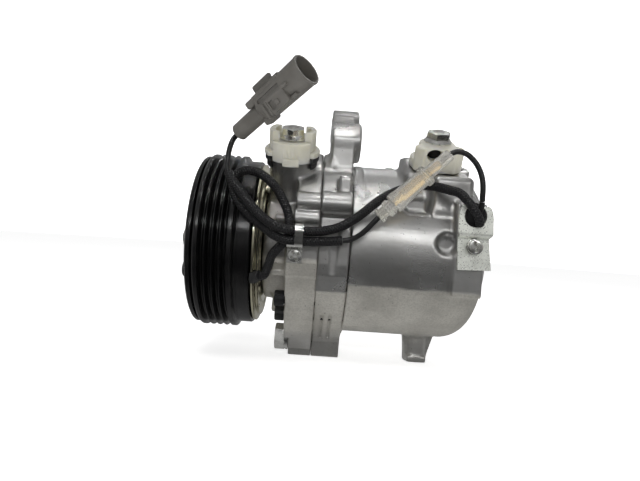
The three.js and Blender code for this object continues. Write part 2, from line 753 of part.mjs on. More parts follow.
// ---------------------------------------------------------------- port closures

// Heights are along the port's own axis, from the shaft.
const CAP_SEAT = 9.1;
const REAR_CAP_SEAT = 13.2;

// A round body with a wall at its front and back, and a tall tab and an ear on each side.
function frontPortCap() {
  const t = FRONT_PORT_TOP;
  const body = spun([[4.6, t + 1.2], [4.6, t + 8.8], [CAP_RADIUS, t + 8.8], [CAP_RADIUS, t + 1.2]], MIDDLE);
  const tabRing = spun([[8.9, t + 8.7], [8.9, t + 13.6], [CAP_RADIUS, t + 13.6], [CAP_RADIUS, t + 8.7]], MIDDLE);
  const earRing = spun([[11, t + 1.2], [11, t + 3.6], [CAP_FLANGE, t + 3.4], [CAP_FLANGE, t + 1.2]], MIDDLE);
  const wallRing = spun([
    [11.2, t + 1.2], [11.2, t + 8.8], [CAP_WALL, t + 8.8], [CAP_WALL, t - 0.9], [12, t - 0.9], [12, t + 1.2],
  ], MIDDLE);
  const tabs = tabRing.intersect(box(-20, 20, -6.5, 6.5, t, t + 20));
  const ears = earRing.intersect(box(-20, 20, -8.4, 8.4, t, t + 20));
  const walls = wallRing.intersect(box(-9.2, 9.2, -20, 20, t - 2, t + 20));
  const latch = box(-4, 4, -CAP_WALL - 0.8, -12.2, t - 2.3, t + 1.7);
  return join(body, tabs, ears, walls, latch);
}

// A black seal under the front cap, with an ear that hangs down on each side of the port.
function frontPortSeal() {
  const t = FRONT_PORT_TOP;
  const disc = spun([[4.6, t + GAP], [4.6, t + 0.9], [11.9, t + 0.9], [11.9, t + GAP]], MIDDLE);
  const upperRing = spun([[11.7, t - 1.7], [11.7, t + 0.9], [13.7, t + 0.9], [13.7, t - 1.7]], MIDDLE);
  const lowerRing = spun([[11.7, t - 5], [11.7, t - 1], [12.8, t - 1], [12.8, t - 5]], MIDDLE);
  const middle = box(-9.6, 9.6, -20, 20, 0, 100);
  const upper = upperRing.intersect(box(-20, 20, -8.4, 5, 0, 100));
  const lower = lowerRing.intersect(box(-20, 20, -8.4, 1, 0, 100));
  return join(disc, cut(join(upper, lower), middle));
}

// A taller cap: a round core behind a broad front with cut corners. A window in it shows the seal's sleeve.
function rearPortCap() {
  const t = REAR_PORT_TOP;
  const core = spun([
    [4.6, t + 5], [4.6, t + 12.9], [8.8, t + 12.9], [8.8, t + 5], [12.2, t + 5], [12.2, t + 1.6], [4.6, t + 1.6],
  ], MIDDLE);
  const front = prismZ(
    outline([[-8, -12.5], [8, -12.5], [12, -9], [12, -6.5], [7, 0], [-7, 0], [-12, -6.5], [-12, -9]]),
    t + 1.6,
    t + 12.6,
  );
  const shankWay = rodZ(0, 0, 4.6, t, t + 20);
  const sleeveWay = rodZ(0, 0, 6.2, t, t + 11.8);
  return cut(join(core, front), shankWay, sleeveWay, rodY(-2.8, t + 9.2, 3.2, -20, -2));
}

function rearPortSeal() {
  const t = REAR_PORT_TOP;
  return spun([
    [4.6, t + GAP], [4.6, t + 11.2], [5.9, t + 11.2], [5.9, t + 1.3], [12, t + 1.3], [12, t + GAP],
  ], MIDDLE);
}

function capBolt(portTop, seatHeight) {
  const seat = portTop + seatHeight;
  return join(
    rodZ(0, 0, 3.6, portTop - 8, seat + 1),
    rodZ(0, 0, 6.5, seat, seat + 1.6, NARROW),
    rodZ(0, 0, 5.8, seat + 1.5, seat + 4.9, 6),
  );
}

add("front_port_cap", atPort(frontPortCap(), FRONT_PORT_X), palePlastic);
add("front_port_seal", atPort(frontPortSeal(), FRONT_PORT_X), blackRubber);
add("front_cap_bolt", atPort(capBolt(FRONT_PORT_TOP, CAP_SEAT), FRONT_PORT_X), zincPlate);
add("rear_port_cap", atPort(rearPortCap(), REAR_PORT_X), palePlastic);
add("rear_port_seal", atPort(rearPortSeal(), REAR_PORT_X), blackRubber);
add("rear_cap_bolt", atPort(capBolt(REAR_PORT_TOP, REAR_CAP_SEAT), REAR_PORT_X), zincPlate);

// ---------------------------------------------------------------- lead clip and switch bracket

// A pan-head screw with a washer, driven in along +Y through a face at y.
function panScrew([x, z], y, headRadius, length) {
  return join(
    rodY(x, z, SCREW_SHANK, y - 0.5, y + length),
    rodY(x, z, headRadius, y - 0.9, y, NARROW),
    rodY(x, z, headRadius - 0.7, y - 3, y - 0.8, NARROW),
  );
}

// The clip's strap goes over both sleeves and its foot is screwed to the head's flat pad.
const CLIP_FOOT = CLIP_PAD - GAP;

function leadClip() {
  const outer = LEAD_LEVEL - SLEEVE_DIAMETER / 2 - 2.4;
  const inner = outer + 1;
  const strap = prismX(
    outline([
      [CLIP_FOOT, -8], [CLIP_FOOT - 1, -8], [CLIP_FOOT - 1, -0.8], [outer, -0.8], [outer, 10.3],
      [CLIP_FOOT - 1.4, 11.3], [CLIP_FOOT - 1.4, 10.3], [inner, 9.6], [inner, -0.1], [CLIP_FOOT, -0.1],
    ]),
    42.4,
    49.6,
  );
  const narrowing = box(42, 46, -60, -40, 0.3, 12);
  return cut(strap, narrowing, rodY(...CLIP_SCREW, SCREW_SHANK + GAP, -50, -44));
}

add("lead_clip", leadClip(), zincPlate);
add("clip_screw", panScrew(CLIP_SCREW, CLIP_FOOT - 1 - GAP, 3.5, 7), zincPlate);

const BRACKET_BACK = SWITCH_PAD - GAP;
const BRACKET_STEP = 5.2;
const SHEET = 1.5;

function switchBracket() {
  const front = BRACKET_BACK - BRACKET_STEP;
  const [x, z] = SWITCH_PLACE;
  const [x0, x1] = [120.2, 135.8];
  const lower = box(x0, x1, BRACKET_BACK - SHEET, BRACKET_BACK, -6.2, 9.2);
  const step = box(x0, x1, front, BRACKET_BACK, 9.1, 10.6);
  const upper = box(x0, x1, front, front + SHEET, 9.1, 24);
  const notch = join(rodY(x, z, 5.3, -60, -40, NARROW), box(x - 5.3, x + 5.3, -60, -40, z, 30));
  return cut(join(lower, step, upper), notch, rodY(...BRACKET_SCREW, SCREW_SHANK + GAP, -60, -40));
}

add("switch_bracket", switchBracket(), zincPlate);
add("bracket_screw", panScrew(BRACKET_SCREW, BRACKET_BACK - SHEET - GAP, 3.7, 6), zincPlate);
add("thermal_switch", rodY(...SWITCH_PLACE, 6.4, BRACKET_BACK - 3.2, BRACKET_BACK, NARROW), blackPlastic);

function switchGrommet() {
  const front = BRACKET_BACK - BRACKET_STEP;
  return join(
    rodY(...SWITCH_PLACE, 5, front - 0.4, BRACKET_BACK - 3.5, NARROW),
    rodY(...SWITCH_PLACE, 6.1, front - 2.4, front - GAP, NARROW),
    nozzle(FEED_SLEEVE.at(-1), FEED_SLEEVE.at(-2), 5, 2.4, 2.4),
    nozzle(SWITCH_WIRE.at(-1), SWITCH_WIRE.at(-2), 4, 1.8, 1.8),
  );
}

add("switch_grommet", switchGrommet(), blackRubber);

// ---------------------------------------------------------------- connectors

const LATCH_SIDE = new THREE.Vector3(-1, 0, 1);
const connectorLength = CONNECTOR_TAIL.distanceTo(CONNECTOR_MOUTH);

function onConnector(made) {
  return along(made, CONNECTOR_TAIL, CONNECTOR_MOUTH, LATCH_SIDE);
}

// In connector coordinates z runs from the wire's end to the mouth, and x points at the latch.
function connectorHousing() {
  const l = connectorLength;
  const barrel = spun([
    [1.6, 0], [4, 0], [4.7, 0.8], [4.7, l * 0.36], [6.6, l * 0.4], [6.8, l * 0.7], [7.7, l * 0.76],
    [7.9, l], [6.6, l], [6.6, l * 0.55], [1.6, l * 0.5],
  ]);
  const rail = box(4, 7.4, -2.6, 2.6, l * 0.28, l * 0.74);
  const lip = box(-7, -4, -3, 3, l * 0.3, l * 0.46);
  const bore = rodZ(0, 0, 6.6, l * 0.55, l + 1, NARROW);
  return cut(join(barrel, rail, lip), bore);
}

function connectorLock() {
  const l = connectorLength;
  return join(
    box(7.7, 8.8, -2.4, 2.4, l * 0.34, l * 0.7),
    box(8.6, 11.7, -1.6, 1.6, l * 0.42, l * 0.66),
  );
}

add("connector_housing", onConnector(connectorHousing()), greyPlastic);
add("connector_lock", onConnector(connectorLock()), greyPlastic);
add("connector_terminal", onConnector(rodZ(0, 0, 1.3, connectorLength * 0.3, connectorLength * 0.72)), brass);

const bulletLength = BULLET_START.distanceTo(BULLET_END);

// A sleeve or terminal on the bullet connector's axis. The profile is a list of [radius, share of its length].
function bulletPiece(from, to, profile) {
  const points = profile.map(([r, t]) => [r, (from + (to - from) * t) * bulletLength]);
  return along(spun(points, SMALL), BULLET_START, BULLET_END);
}

const socketSleeve = bulletPiece(0, 0.66, [
  [1.9, 0], [3.2, 0], [3.4, 0.25], [4.1, 0.3], [4.1, 0.86], [4.9, 0.9],
  [4.9, 1], [2.9, 1], [2.9, 0.35], [1.9, 0.3],
]);
const plugSleeve = bulletPiece(0.67, 1, [
  [2.3, 0], [3.6, 0], [3.4, 0.5], [3, 0.6], [3, 1], [1.9, 1], [1.9, 0.6],
]);
const bulletTerminal = bulletPiece(0.02, 0.96, [
  [0, 0], [1.6, 0], [1.6, 0.26], [2.5, 0.32], [2.5, 0.6], [1.6, 0.68], [1.6, 1], [0, 1],
]);
add("bullet_socket_sleeve", socketSleeve, clearPlastic);
add("bullet_plug_sleeve", plugSleeve, clearPlastic);
add("bullet_terminal", bulletTerminal, brass);

// ---------------------------------------------------------------- leads

add("coil_lead", tube(COIL_LEAD, SLEEVE_DIAMETER, 38), blackRubber);
add("feed_sleeve", tube(FEED_SLEEVE, SLEEVE_DIAMETER, 26), blackRubber);
add("feed_wire", tube(FEED_WIRE, WIRE_DIAMETER, 6), blackRubber);
add("bullet_wire", tube(BULLET_WIRE, WIRE_DIAMETER, 5), blackRubber);
add("switch_wire", tube(SWITCH_WIRE, WIRE_DIAMETER, 9), blackRubber);

export default compressor;
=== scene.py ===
"""Looks of a rotary-vane car air-conditioning compressor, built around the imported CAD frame.

Shapes are drawn in shaft coordinates in millimetres: the shaft's axis is the X axis, x = 0 is the pulley's
first rib crest, the wiring side is -Y and +Z is up. finish_piece() moves them into the frame, in metres.
"""

import math

import bmesh
import bpy
import numpy as np
from mathutils import Matrix, Vector


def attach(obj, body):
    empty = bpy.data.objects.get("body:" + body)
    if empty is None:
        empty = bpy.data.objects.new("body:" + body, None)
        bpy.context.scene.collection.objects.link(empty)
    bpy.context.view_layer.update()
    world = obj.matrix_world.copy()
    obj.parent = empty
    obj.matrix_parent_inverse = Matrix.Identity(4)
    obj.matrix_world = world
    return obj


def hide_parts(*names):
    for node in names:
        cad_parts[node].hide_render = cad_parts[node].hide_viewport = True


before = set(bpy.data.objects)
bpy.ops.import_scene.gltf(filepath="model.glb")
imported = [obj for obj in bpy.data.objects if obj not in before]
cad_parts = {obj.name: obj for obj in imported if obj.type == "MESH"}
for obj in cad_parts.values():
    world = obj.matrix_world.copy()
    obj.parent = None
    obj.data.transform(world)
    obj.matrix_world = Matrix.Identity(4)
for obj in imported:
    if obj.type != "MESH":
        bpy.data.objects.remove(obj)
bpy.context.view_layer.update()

# ---------------------------------------------------------------- shaft coordinates and camera

MM = 0.001
SHAFT = Vector((-64.4, 0, 60))  # where the shaft's x = 0 lies in the frame, in millimetres
TO_FRAME = Matrix.Scale(MM, 4) @ Matrix.Translation(SHAFT)
PORT_TILT = math.radians(27)


def in_frame(p):
    return TO_FRAME @ Vector(p)


def make_camera():
    data = bpy.data.cameras.new("camera")
    data.lens, data.sensor_width = 27.56, 36
    data.clip_start, data.clip_end = 0.01, 20
    camera = bpy.data.objects.new("camera", data)
    bpy.context.scene.collection.objects.link(camera)
    right = Vector((0.99749, -0.01205, 0.06973))
    up = Vector((-0.06973, 0.00084, 0.99757))
    back = right.cross(up)
    turn = Matrix((right, up, back)).transposed().to_4x4()
    camera.matrix_world = Matrix.Translation(in_frame((54.61, -274.18, 3.15))) @ turn
    bpy.context.scene.camera = camera


make_camera()

# ---------------------------------------------------------------- material nodes


class Nodes:
    """Short names for building a Principled material."""

    def __init__(self, name):
        self.material = bpy.data.materials.new(name)
        self.material.use_nodes = True
        self.tree = self.material.node_tree
        self.shader = self.tree.nodes["Principled BSDF"]
        self.place = self.new("ShaderNodeTexCoord").outputs["Object"]

    def new(self, kind, **settings):
        node = self.tree.nodes.new(kind)
        for key, value in settings.items():
            setattr(node, key, value)
        return node

    def set(self, node, **inputs):
        for key, value in inputs.items():
            socket = node.inputs[key.replace("_", " ")]
            if isinstance(value, bpy.types.NodeSocket):
                self.tree.links.new(value, socket)
            else:
                socket.default_value = value
        return node

    def noise(self, scale, detail=3.0, stretch=None, rough=0.5):
        """Scale is in features per metre; stretch multiplies each axis."""
        place = self.place
        if stretch:
            mapping = self.new("ShaderNodeMapping")
            self.set(mapping, Vector=place, Scale=stretch)
            place = mapping.outputs[0]
        node = self.new("ShaderNodeTexNoise")
        self.set(node, Vector=place, Scale=scale, Detail=detail, Roughness=rough)
        return node.outputs["Fac"]

    def ramp(self, factor, low, high, a=0.0, b=1.0):
        """Maps low..high of a factor to a..b, clamped and smooth."""
        node = self.new("ShaderNodeMapRange", interpolation_type="SMOOTHSTEP")
        self.set(node, Value=factor)
        for key, value in (("From Min", low), ("From Max", high), ("To Min", a), ("To Max", b)):
            node.inputs[key].default_value = value
        return node.outputs[0]

    def math(self, operation, a, b=0.0):
        node = self.new("ShaderNodeMath", operation=operation)
        for socket, value in zip(node.inputs, (a, b)):
            if isinstance(value, bpy.types.NodeSocket):
                self.tree.links.new(value, socket)
            else:
                socket.default_value = value
        return node.outputs[0]

    def mix(self, factor, a, b):
        node = self.new("ShaderNodeMix", data_type="RGBA")
        self.set(node, Factor=factor)
        for index, value in ((6, a), (7, b)):
            if isinstance(value, bpy.types.NodeSocket):
                self.tree.links.new(value, node.inputs[index])
            else:
                node.inputs[index].default_value = (*value, 1)
        return node.outputs[2]

    def xyz(self):
        node = self.new("ShaderNodeSeparateXYZ")
        self.set(node, Vector=self.place)
        return node.outputs

    def bump(self, height, depth, strength=1.0, before=None):
        """A bump of the given depth in metres."""
        node = self.new("ShaderNodeBump")
        self.set(node, Height=height, Distance=depth, Strength=strength)
        if before:
            self.set(node, Normal=before)
        return node.outputs[0]

    def done(self, **inputs):
        self.set(self.shader, **inputs)
        return self.material


# ---------------------------------------------------------------- materials


def cast_aluminium(name, rough_below=None):
    """Tumbled die-cast aluminium. Below rough_below, a height in metres, the skin is dull and rough; close to
    the floor that dull skin fades, a painted shade that darkens the foot.
    """
    n = Nodes(name)
    metallic = 0.92
    cloud = n.noise(38, 4)
    grain = n.noise(700, 1)
    streak = n.noise(160, 3, stretch=(0.25, 1, 1))
    pits = n.ramp(n.noise(800, 1.5), 0.23, 0.28, 1, 0)
    tone = n.mix(n.ramp(cloud, 0.35, 0.7), (0.40, 0.398, 0.39), (0.60, 0.598, 0.585))
    tone = n.mix(n.ramp(streak, 0.45, 0.75, 0, 0.45), tone, (0.33, 0.32, 0.30))
    rough = n.ramp(cloud, 0.3, 0.75, 0.36, 0.25)
    height = n.math("ADD", n.math("MULTIPLY", grain, 0.25), n.math("MULTIPLY", streak, 0.5))
    if rough_below is not None:
        edge = n.math("ADD", n.xyz()[2], n.math("MULTIPLY", n.noise(90, 3), 0.003))
        low = n.ramp(edge, rough_below + 0.001, rough_below + 0.003, 1, 0)
        # Painted shade: within 8 to 20 mm of the floor the dull, dusty skin fades to about a third, so the
        # foot and the lug come out darker.
        low = n.math("MULTIPLY", low, n.ramp(n.xyz()[2], 0.008, 0.020, 0.35, 1))
        dust = n.mix(
            n.ramp(n.noise(45, 6, rough=0.6), 0.36, 0.66), (0.47, 0.455, 0.415), (0.60, 0.585, 0.535)
        )
        dust = n.mix(n.ramp(n.noise(1100, 2), 0.35, 0.7, 0, 0.35), dust, (0.30, 0.29, 0.26))
        tone = n.mix(low, tone, dust)
        rough = n.math("ADD", rough, n.math("MULTIPLY", low, 0.16))
        metallic = n.math("SUBTRACT", 0.92, n.math("MULTIPLY", low, 0.26))
        coarse = n.math("MULTIPLY", n.math("MULTIPLY", n.noise(700, 4), low), 0.7)
        height = n.math("ADD", height, coarse)
    tone = n.mix(n.math("MULTIPLY", pits, 0.75), tone, (0.10, 0.095, 0.09))
    height = n.math("SUBTRACT", height, n.math("MULTIPLY", pits, 0.5))
    return n.done(
        Base_Color=tone,
        Metallic=metallic,
        Roughness=rough,
        Normal=n.bump(height, 0.00014, 0.9),
    )


def plain_metal(name, color, worn, rough, grain=700, depth=0.00004, stretch=None, metallic=1.0):
    """Plated, ground or oxidised metal, mottled between two tones."""
    n = Nodes(name)
    cloud = n.noise(140, 4)
    fine = n.noise(grain, 3, stretch=stretch)
    tone = n.mix(n.ramp(cloud, 0.35, 0.7), color, worn)
    return n.done(
        Base_Color=tone,
        Metallic=metallic,
        Roughness=n.ramp(fine, 0.3, 0.75, rough * 0.75, rough * 1.3),
        Normal=n.bump(fine, depth),
    )


def black_paint():
    """Black e-coat with faint turning marks and a slight mottle."""
    n = Nodes("black_paint")
    cloud = n.noise(90, 4)
    fine = n.noise(1500, 2)
    turning = n.noise(60, 2, stretch=(30, 1, 1))
    tone = n.mix(n.ramp(cloud, 0.45, 0.75), (0.0025, 0.0025, 0.0028), (0.007, 0.007, 0.007))
    height = n.math("ADD", n.math("MULTIPLY", fine, 0.4), n.math("MULTIPLY", turning, 0.6))
    return n.done(
        Base_Color=tone,
        Metallic=0.0,
        Roughness=n.ramp(cloud, 0.3, 0.75, 0.13, 0.24),
        Specular_IOR_Level=0.5,
        Normal=n.bump(height, 0.00003),
    )


def plastic(name, color, other, rough, grain=1400, depth=0.00003, **more):
    """Moulded plastic or rubber with a fine grain and slight mottling."""
    n = Nodes(name)
    cloud = n.noise(110, 3)
    fine = n.noise(grain, 2)
    return n.done(
        Base_Color=n.mix(n.ramp(cloud, 0.35, 0.7), color, other),
        Roughness=n.ramp(cloud, 0.3, 0.7, rough * 0.85, rough * 1.15),
        Normal=n.bump(fine, depth),
        **more,
    )


def braided_sleeve():
    """Woven black sleeve: two sets of strands cross on the tube's own map, u round it and v along it."""
    n = Nodes("braided_sleeve")
    place = n.new("ShaderNodeSeparateXYZ")
    n.set(place, Vector=n.new("ShaderNodeTexCoord").outputs["UV"])
    u, v = place.outputs[0], place.outputs[1]
    around = n.math("MULTIPLY", u, 6 * 2 * math.pi)
    along = n.math("MULTIPLY", v, 5200)
    left = n.math("SINE", n.math("ADD", around, along))
    right = n.math("SINE", n.math("SUBTRACT", around, along))
    weave = n.math("MAXIMUM", left, right)
    # Painted highlight and shade: the base colour is lighter on the strands' crests and darker in the gaps
    # between them.
    painted_weave_light = n.ramp(weave, -0.2, 0.9)
    return n.done(
        Base_Color=n.mix(painted_weave_light, (0.002, 0.002, 0.0022), (0.010, 0.010, 0.011)),
        Roughness=n.ramp(weave, 0, 1, 0.55, 0.34),
        Normal=n.bump(weave, 0.00018, 0.8),
    )


CAST = cast_aluminium("cast_aluminium", rough_below=0.0535)
CAST_CENTRE = cast_aluminium("cast_aluminium_centre", rough_below=0.0385)
CAST_SHELL = cast_aluminium("cast_aluminium_shell", rough_below=0.0425)
PAINT = black_paint()
ZINC = plain_metal("zinc_plate", (0.88, 0.88, 0.85), (0.70, 0.70, 0.66), 0.18)
YELLOW_ZINC = plain_metal("yellow_zinc", (0.74, 0.70, 0.52), (0.62, 0.60, 0.46), 0.16)
STEEL = plain_metal("steel", (0.55, 0.55, 0.56), (0.42, 0.42, 0.43), 0.24)
DARK_STEEL = plain_metal("dark_steel", (0.020, 0.020, 0.022), (0.045, 0.044, 0.042), 0.40, metallic=0.6)
COPPER = plain_metal("copper", (0.55, 0.20, 0.08), (0.42, 0.15, 0.06), 0.3, stretch=(20, 1, 1))
BRASS = plain_metal("brass", (0.88, 0.62, 0.20), (0.74, 0.50, 0.16), 0.2)
RUBBER = plastic("black_rubber", (0.007, 0.007, 0.0075), (0.018, 0.018, 0.018), 0.55)
BLACK_PLASTIC = plastic("black_plastic", (0.010, 0.010, 0.011), (0.020, 0.020, 0.021), 0.38)
WIRE_SKIN = plastic("wire_skin", (0.006, 0.006, 0.0065), (0.012, 0.012, 0.012), 0.33)
GREY_PLASTIC = plastic("grey_plastic", (0.108, 0.102, 0.091), (0.128, 0.121, 0.109), 0.38, grain=1000)
PALE_PLASTIC = plastic(
    "pale_plastic", (0.56, 0.545, 0.465), (0.62, 0.605, 0.53), 0.40,
    Subsurface_Weight=0.75,
    Subsurface_Radius=(0.9, 0.85, 0.65),
    Subsurface_Scale=0.006,
)
GALVANISED = plain_metal(
    "galvanised", (0.92, 0.94, 0.87), (0.74, 0.76, 0.70), 0.34, grain=1100, depth=0.00006, metallic=0.7
)
CLEAR_PLASTIC = plastic(
    "clear_plastic", (0.90, 0.88, 0.80), (0.93, 0.92, 0.88), 0.22,
    Transmission_Weight=0.78,
    IOR=1.3,
)
BRAID = braided_sleeve()

# ---------------------------------------------------------------- meshes


def new_piece(name, vertices, faces, smooth=40):
    """A mesh object in shaft millimetres. Edges sharper than smooth degrees stay crisp."""
    mesh = bpy.data.meshes.new(name)
    mesh.from_pydata([tuple(v) for v in vertices], [], faces)
    mesh.update()
    piece = bpy.data.objects.new(name, mesh)
    bpy.context.scene.collection.objects.link(piece)
    bm = bmesh.new()
    bm.from_mesh(mesh)
    bmesh.ops.remove_doubles(bm, verts=bm.verts, dist=1e-4)
    bmesh.ops.recalc_face_normals(bm, faces=bm.faces)
    bm.to_mesh(mesh)
    bm.free()
    crisp(mesh, smooth)
    return piece


def crisp(mesh, degrees):
    mesh.shade_smooth()
    mesh.set_sharp_from_angle(angle=math.radians(degrees))


def modify(piece, kind, **settings):
    modifier = piece.modifiers.new(kind.lower(), kind)
    for key, value in settings.items():
        setattr(modifier, key, value)
    return modifier


def settle(piece, smooth=40):
    """Applies the piece's modifiers."""
    mesh = bpy.data.meshes.new_from_object(piece.evaluated_get(bpy.context.evaluated_depsgraph_get()))
    piece.modifiers.clear()
    old = piece.data
    piece.data = mesh
    bpy.data.meshes.remove(old)
    crisp(mesh, smooth)
    return piece


def rounded(piece, width, segments=2, angle=35):
    modify(
        piece, "BEVEL", width=width, segments=segments, limit_method="ANGLE",
        angle_limit=math.radians(angle),
    )
    return settle(piece)


def boolean(piece, operation, *others):
    for other in others:
        modify(piece, "BOOLEAN", operation=operation, solver="MANIFOLD", object=other)
    settle(piece)
    for other in others:
        bpy.data.objects.remove(other)
    return piece


def join(piece, *others):
    return boolean(piece, "UNION", *others)


def cut(piece, *tools):
    return boolean(piece, "DIFFERENCE", *tools)


def place(piece, matrix):
    piece.data.transform(matrix)
    return piece


def even_normals(piece):
    """Keeps large flat faces flat where small rounded edges meet them."""
    modify(piece, "WEIGHTED_NORMAL", keep_sharp=True)
    mesh = bpy.data.meshes.new_from_object(piece.evaluated_get(bpy.context.evaluated_depsgraph_get()))
    piece.modifiers.clear()
    old, piece.data = piece.data, mesh
    bpy.data.meshes.remove(old)


def finish_piece(piece, body, material, slot, *nodes):
    """Moves a piece into the frame; it rides on the body and stands for the CAD nodes."""
    piece.data.transform(TO_FRAME)
    if len(piece.data.polygons) < 20000:
        even_normals(piece)
    piece.data.materials.clear()
    for one in material if isinstance(material, list) else [material]:
        piece.data.materials.append(one)
    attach(piece, body)
    if nodes:
        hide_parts(*nodes)
    return piece


def turned(name, profile, segments=96, smooth=40):
    """A solid of revolution about the shaft. The profile is a closed list of [x, radius]."""
    return spun(name, [(r, x) for x, r in profile], segments, smooth, Matrix.Rotation(math.pi / 2, 4, "Y"))


def spun(name, profile, segments=64, smooth=40, matrix=None):
    """The same about the Z axis. The profile is a closed list of [radius, height]."""
    vertices, faces = [], []
    count = len(profile)
    for i in range(segments):
        angle = 2 * math.pi * i / segments
        vertices += [(r * math.cos(angle), r * math.sin(angle), z) for r, z in profile]
        for j in range(count):
            k = (j + 1) % count
            if profile[j][0] == 0 and profile[k][0] == 0:
                continue
            corners = [i * count + j, i * count + k]
            ahead = (i + 1) % segments * count
            faces.append((*corners, ahead + k, ahead + j))
    piece = new_piece(name, vertices, faces, smooth)
    return place(piece, matrix) if matrix else piece


def polygon_prism(name, points, low, high, matrix=None, smooth=40):
    """An upright prism from an outline in x and y."""
    count = len(points)
    vertices = [(*p, low) for p in points] + [(*p, high) for p in points]
    sides = [(i, (i + 1) % count, (i + 1) % count + count, i + count) for i in range(count)]
    faces = [tuple(range(count)), tuple(range(count, 2 * count)), *sides]
    piece = new_piece(name, vertices, faces, smooth)
    return place(piece, matrix) if matrix else piece


def circle(radius, sides, x=0, y=0, turn=0.0):
    angles = [2 * math.pi * (i + turn) / sides for i in range(sides)]
    return [(x + radius * math.cos(a), y + radius * math.sin(a)) for a in angles]


def block(name, low, high, smooth=40):
    (x0, y0, z0), (x1, y1, z1) = low, high
    return polygon_prism(name, [(x0, y0), (x1, y0), (x1, y1), (x0, y1)], z0, z1, None, smooth)


def rod(name, start, end, radius, sides=32, turn=0.0):
    """A cylinder between two points."""
    start, end = Vector(start), Vector(end)
    heading = (end - start).to_track_quat("Z", "Y").to_matrix().to_4x4()
    matrix = Matrix.Translation(start) @ heading
    return polygon_prism(name, circle(radius, sides, turn=turn), 0, (end - start).length, matrix)


# Turns the Z axis of a piece into the shaft's direction or the opposite of the camera's side.
ALONG_X = Matrix(((0, 0, 1, 0), (1, 0, 0, 0), (0, 1, 0, 0), (0, 0, 0, 1)))
TOWARDS_MINUS_Y = Matrix(((1, 0, 0, 0), (0, 0, -1, 0), (0, 1, 0, 0), (0, 0, 0, 1)))


def at_port(x):
    """From upright port coordinates to the leaning port that meets the shaft's axis at x."""
    return Matrix.Translation((x, 0, 0)) @ Matrix.Rotation(PORT_TILT, 4, "X")


# ---------------------------------------------------------------- leads


def smooth_route(points, step=0.8):
    """Points close together on the centripetal Catmull-Rom curve that passes through the route."""
    p = [Vector(q) for q in points]
    p = [2 * p[0] - p[1], *p, 2 * p[-1] - p[-2]]
    line = []
    for a, b, c, d in zip(p, p[1:], p[2:], p[3:]):
        dt0, dt1, dt2 = ((q - r).length ** 0.5 for q, r in ((b, a), (c, b), (d, c)))
        t1 = ((b - a) / dt0 - (c - a) / (dt0 + dt1) + (c - b) / dt1) * dt1
        t2 = ((c - b) / dt1 - (d - b) / (dt1 + dt2) + (d - c) / dt2) * dt1
        steps = max(2, round((c - b).length / step))
        for i in range(steps):
            t = i / steps
            line.append(
                b + t1 * t + (3 * (c - b) - 2 * t1 - t2) * t * t + (2 * (b - c) + t1 + t2) * t * t * t
            )
    line.append(p[-2])
    return line


def tube(name, line, diameter, sides=20, hollow=0.0):
    """A tube along a line of points. Its map has u round it and v along it. A hollow end is that deep."""
    frames = []
    side = Vector((0, 0, 1))
    for i, p in enumerate(line):
        heading = (line[min(i + 1, len(line) - 1)] - line[max(i - 1, 0)]).normalized()
        side = (side - heading * side.dot(heading)).normalized()
        frames.append((p, side.copy(), heading.cross(side)))
    rings = [(p, a, b, diameter / 2) for p, a, b in frames]
    if hollow:
        depth = max(2, round(hollow / (line[1] - line[0]).length))
        inner = diameter / 2 - 0.75
        start = [(p, a, b, inner) for p, a, b in frames[depth::-1]]
        end = [(p, a, b, inner) for p, a, b in frames[: -depth - 2 : -1]]
        rings = [*start, *rings, *end]
    vertices, faces, along = [], [], []
    for p, a, b, r in rings:
        for j in range(sides):
            angle = 2 * math.pi * j / sides
            vertices.append(p + r * (math.cos(angle) * a + math.sin(angle) * b))
    for i in range(len(rings) - 1):
        for j in range(sides):
            k = (j + 1) % sides
            faces.append((i * sides + j, i * sides + k, (i + 1) * sides + k, (i + 1) * sides + j))
    faces += [tuple(range(sides)), tuple(range(len(vertices) - sides, len(vertices)))]
    mesh = bpy.data.meshes.new(name)
    mesh.from_pydata([tuple(v) for v in vertices], [], faces)
    layer = mesh.uv_layers.new(name="round_and_along")
    distance = [0.0]
    for (p, *_), (q, *_) in zip(rings, rings[1:]):
        distance.append(distance[-1] + (q - p).length * MM)
    for face in mesh.polygons:
        if len(face.vertices) != 4:
            continue
        i, j = divmod(face.vertices[0], sides)
        for loop, (row, column) in zip(face.loop_indices, ((i, j), (i, j + 1), (i + 1, j + 1), (i + 1, j))):
            layer.data[loop].uv = (column / sides, distance[row])
    mesh.update()
    piece = bpy.data.objects.new(name, mesh)
    bpy.context.scene.collection.objects.link(piece)
    bm = bmesh.new()
    bm.from_mesh(mesh)
    bmesh.ops.recalc_face_normals(bm, faces=bm.faces)
    bm.to_mesh(mesh)
    bm.free()
    crisp(mesh, 50)
    return piece


SLEEVE_DIAMETER = 4.3
WIRE_DIAMETER = 2.5
COIL_LEAD = [
    (30.2, -41.3, -15.4), (32, -42.9, -14.9), (33.9, -44.5, -10.5), (35.5, -46, -5.2),
    (38.6, -47.7, -1.2), (41.7, -48.6, 2.2), (42.8, -48.2, 5.6), (42.8, -47.4, 8.8),
    (42.3, -46.7, 12.6), (41, -46, 16.7), (38.8, -45.5, 20.8), (35.6, -45, 25.7),
    (31.1, -44.5, 30.1), (26.1, -44, 32.9), (21.3, -43.5, 33.8), (17.5, -43, 32.7),
    (15.2, -43, 29.9), (14.8, -43.8, 26.3), (16.8, -45.2, 21.1), (20.2, -46.8, 16.5),
    (24.3, -48, 12.6), (28.8, -49, 9.2), (33.4, -51, 6), (37.7, -53, 3.6),
    (42.4, -53.4, 2.4), (47.3, -52, 2.4), (52.8, -50.7, 2.4), (59.6, -50, 2.8),
    (67.4, -50, 3.8),
]
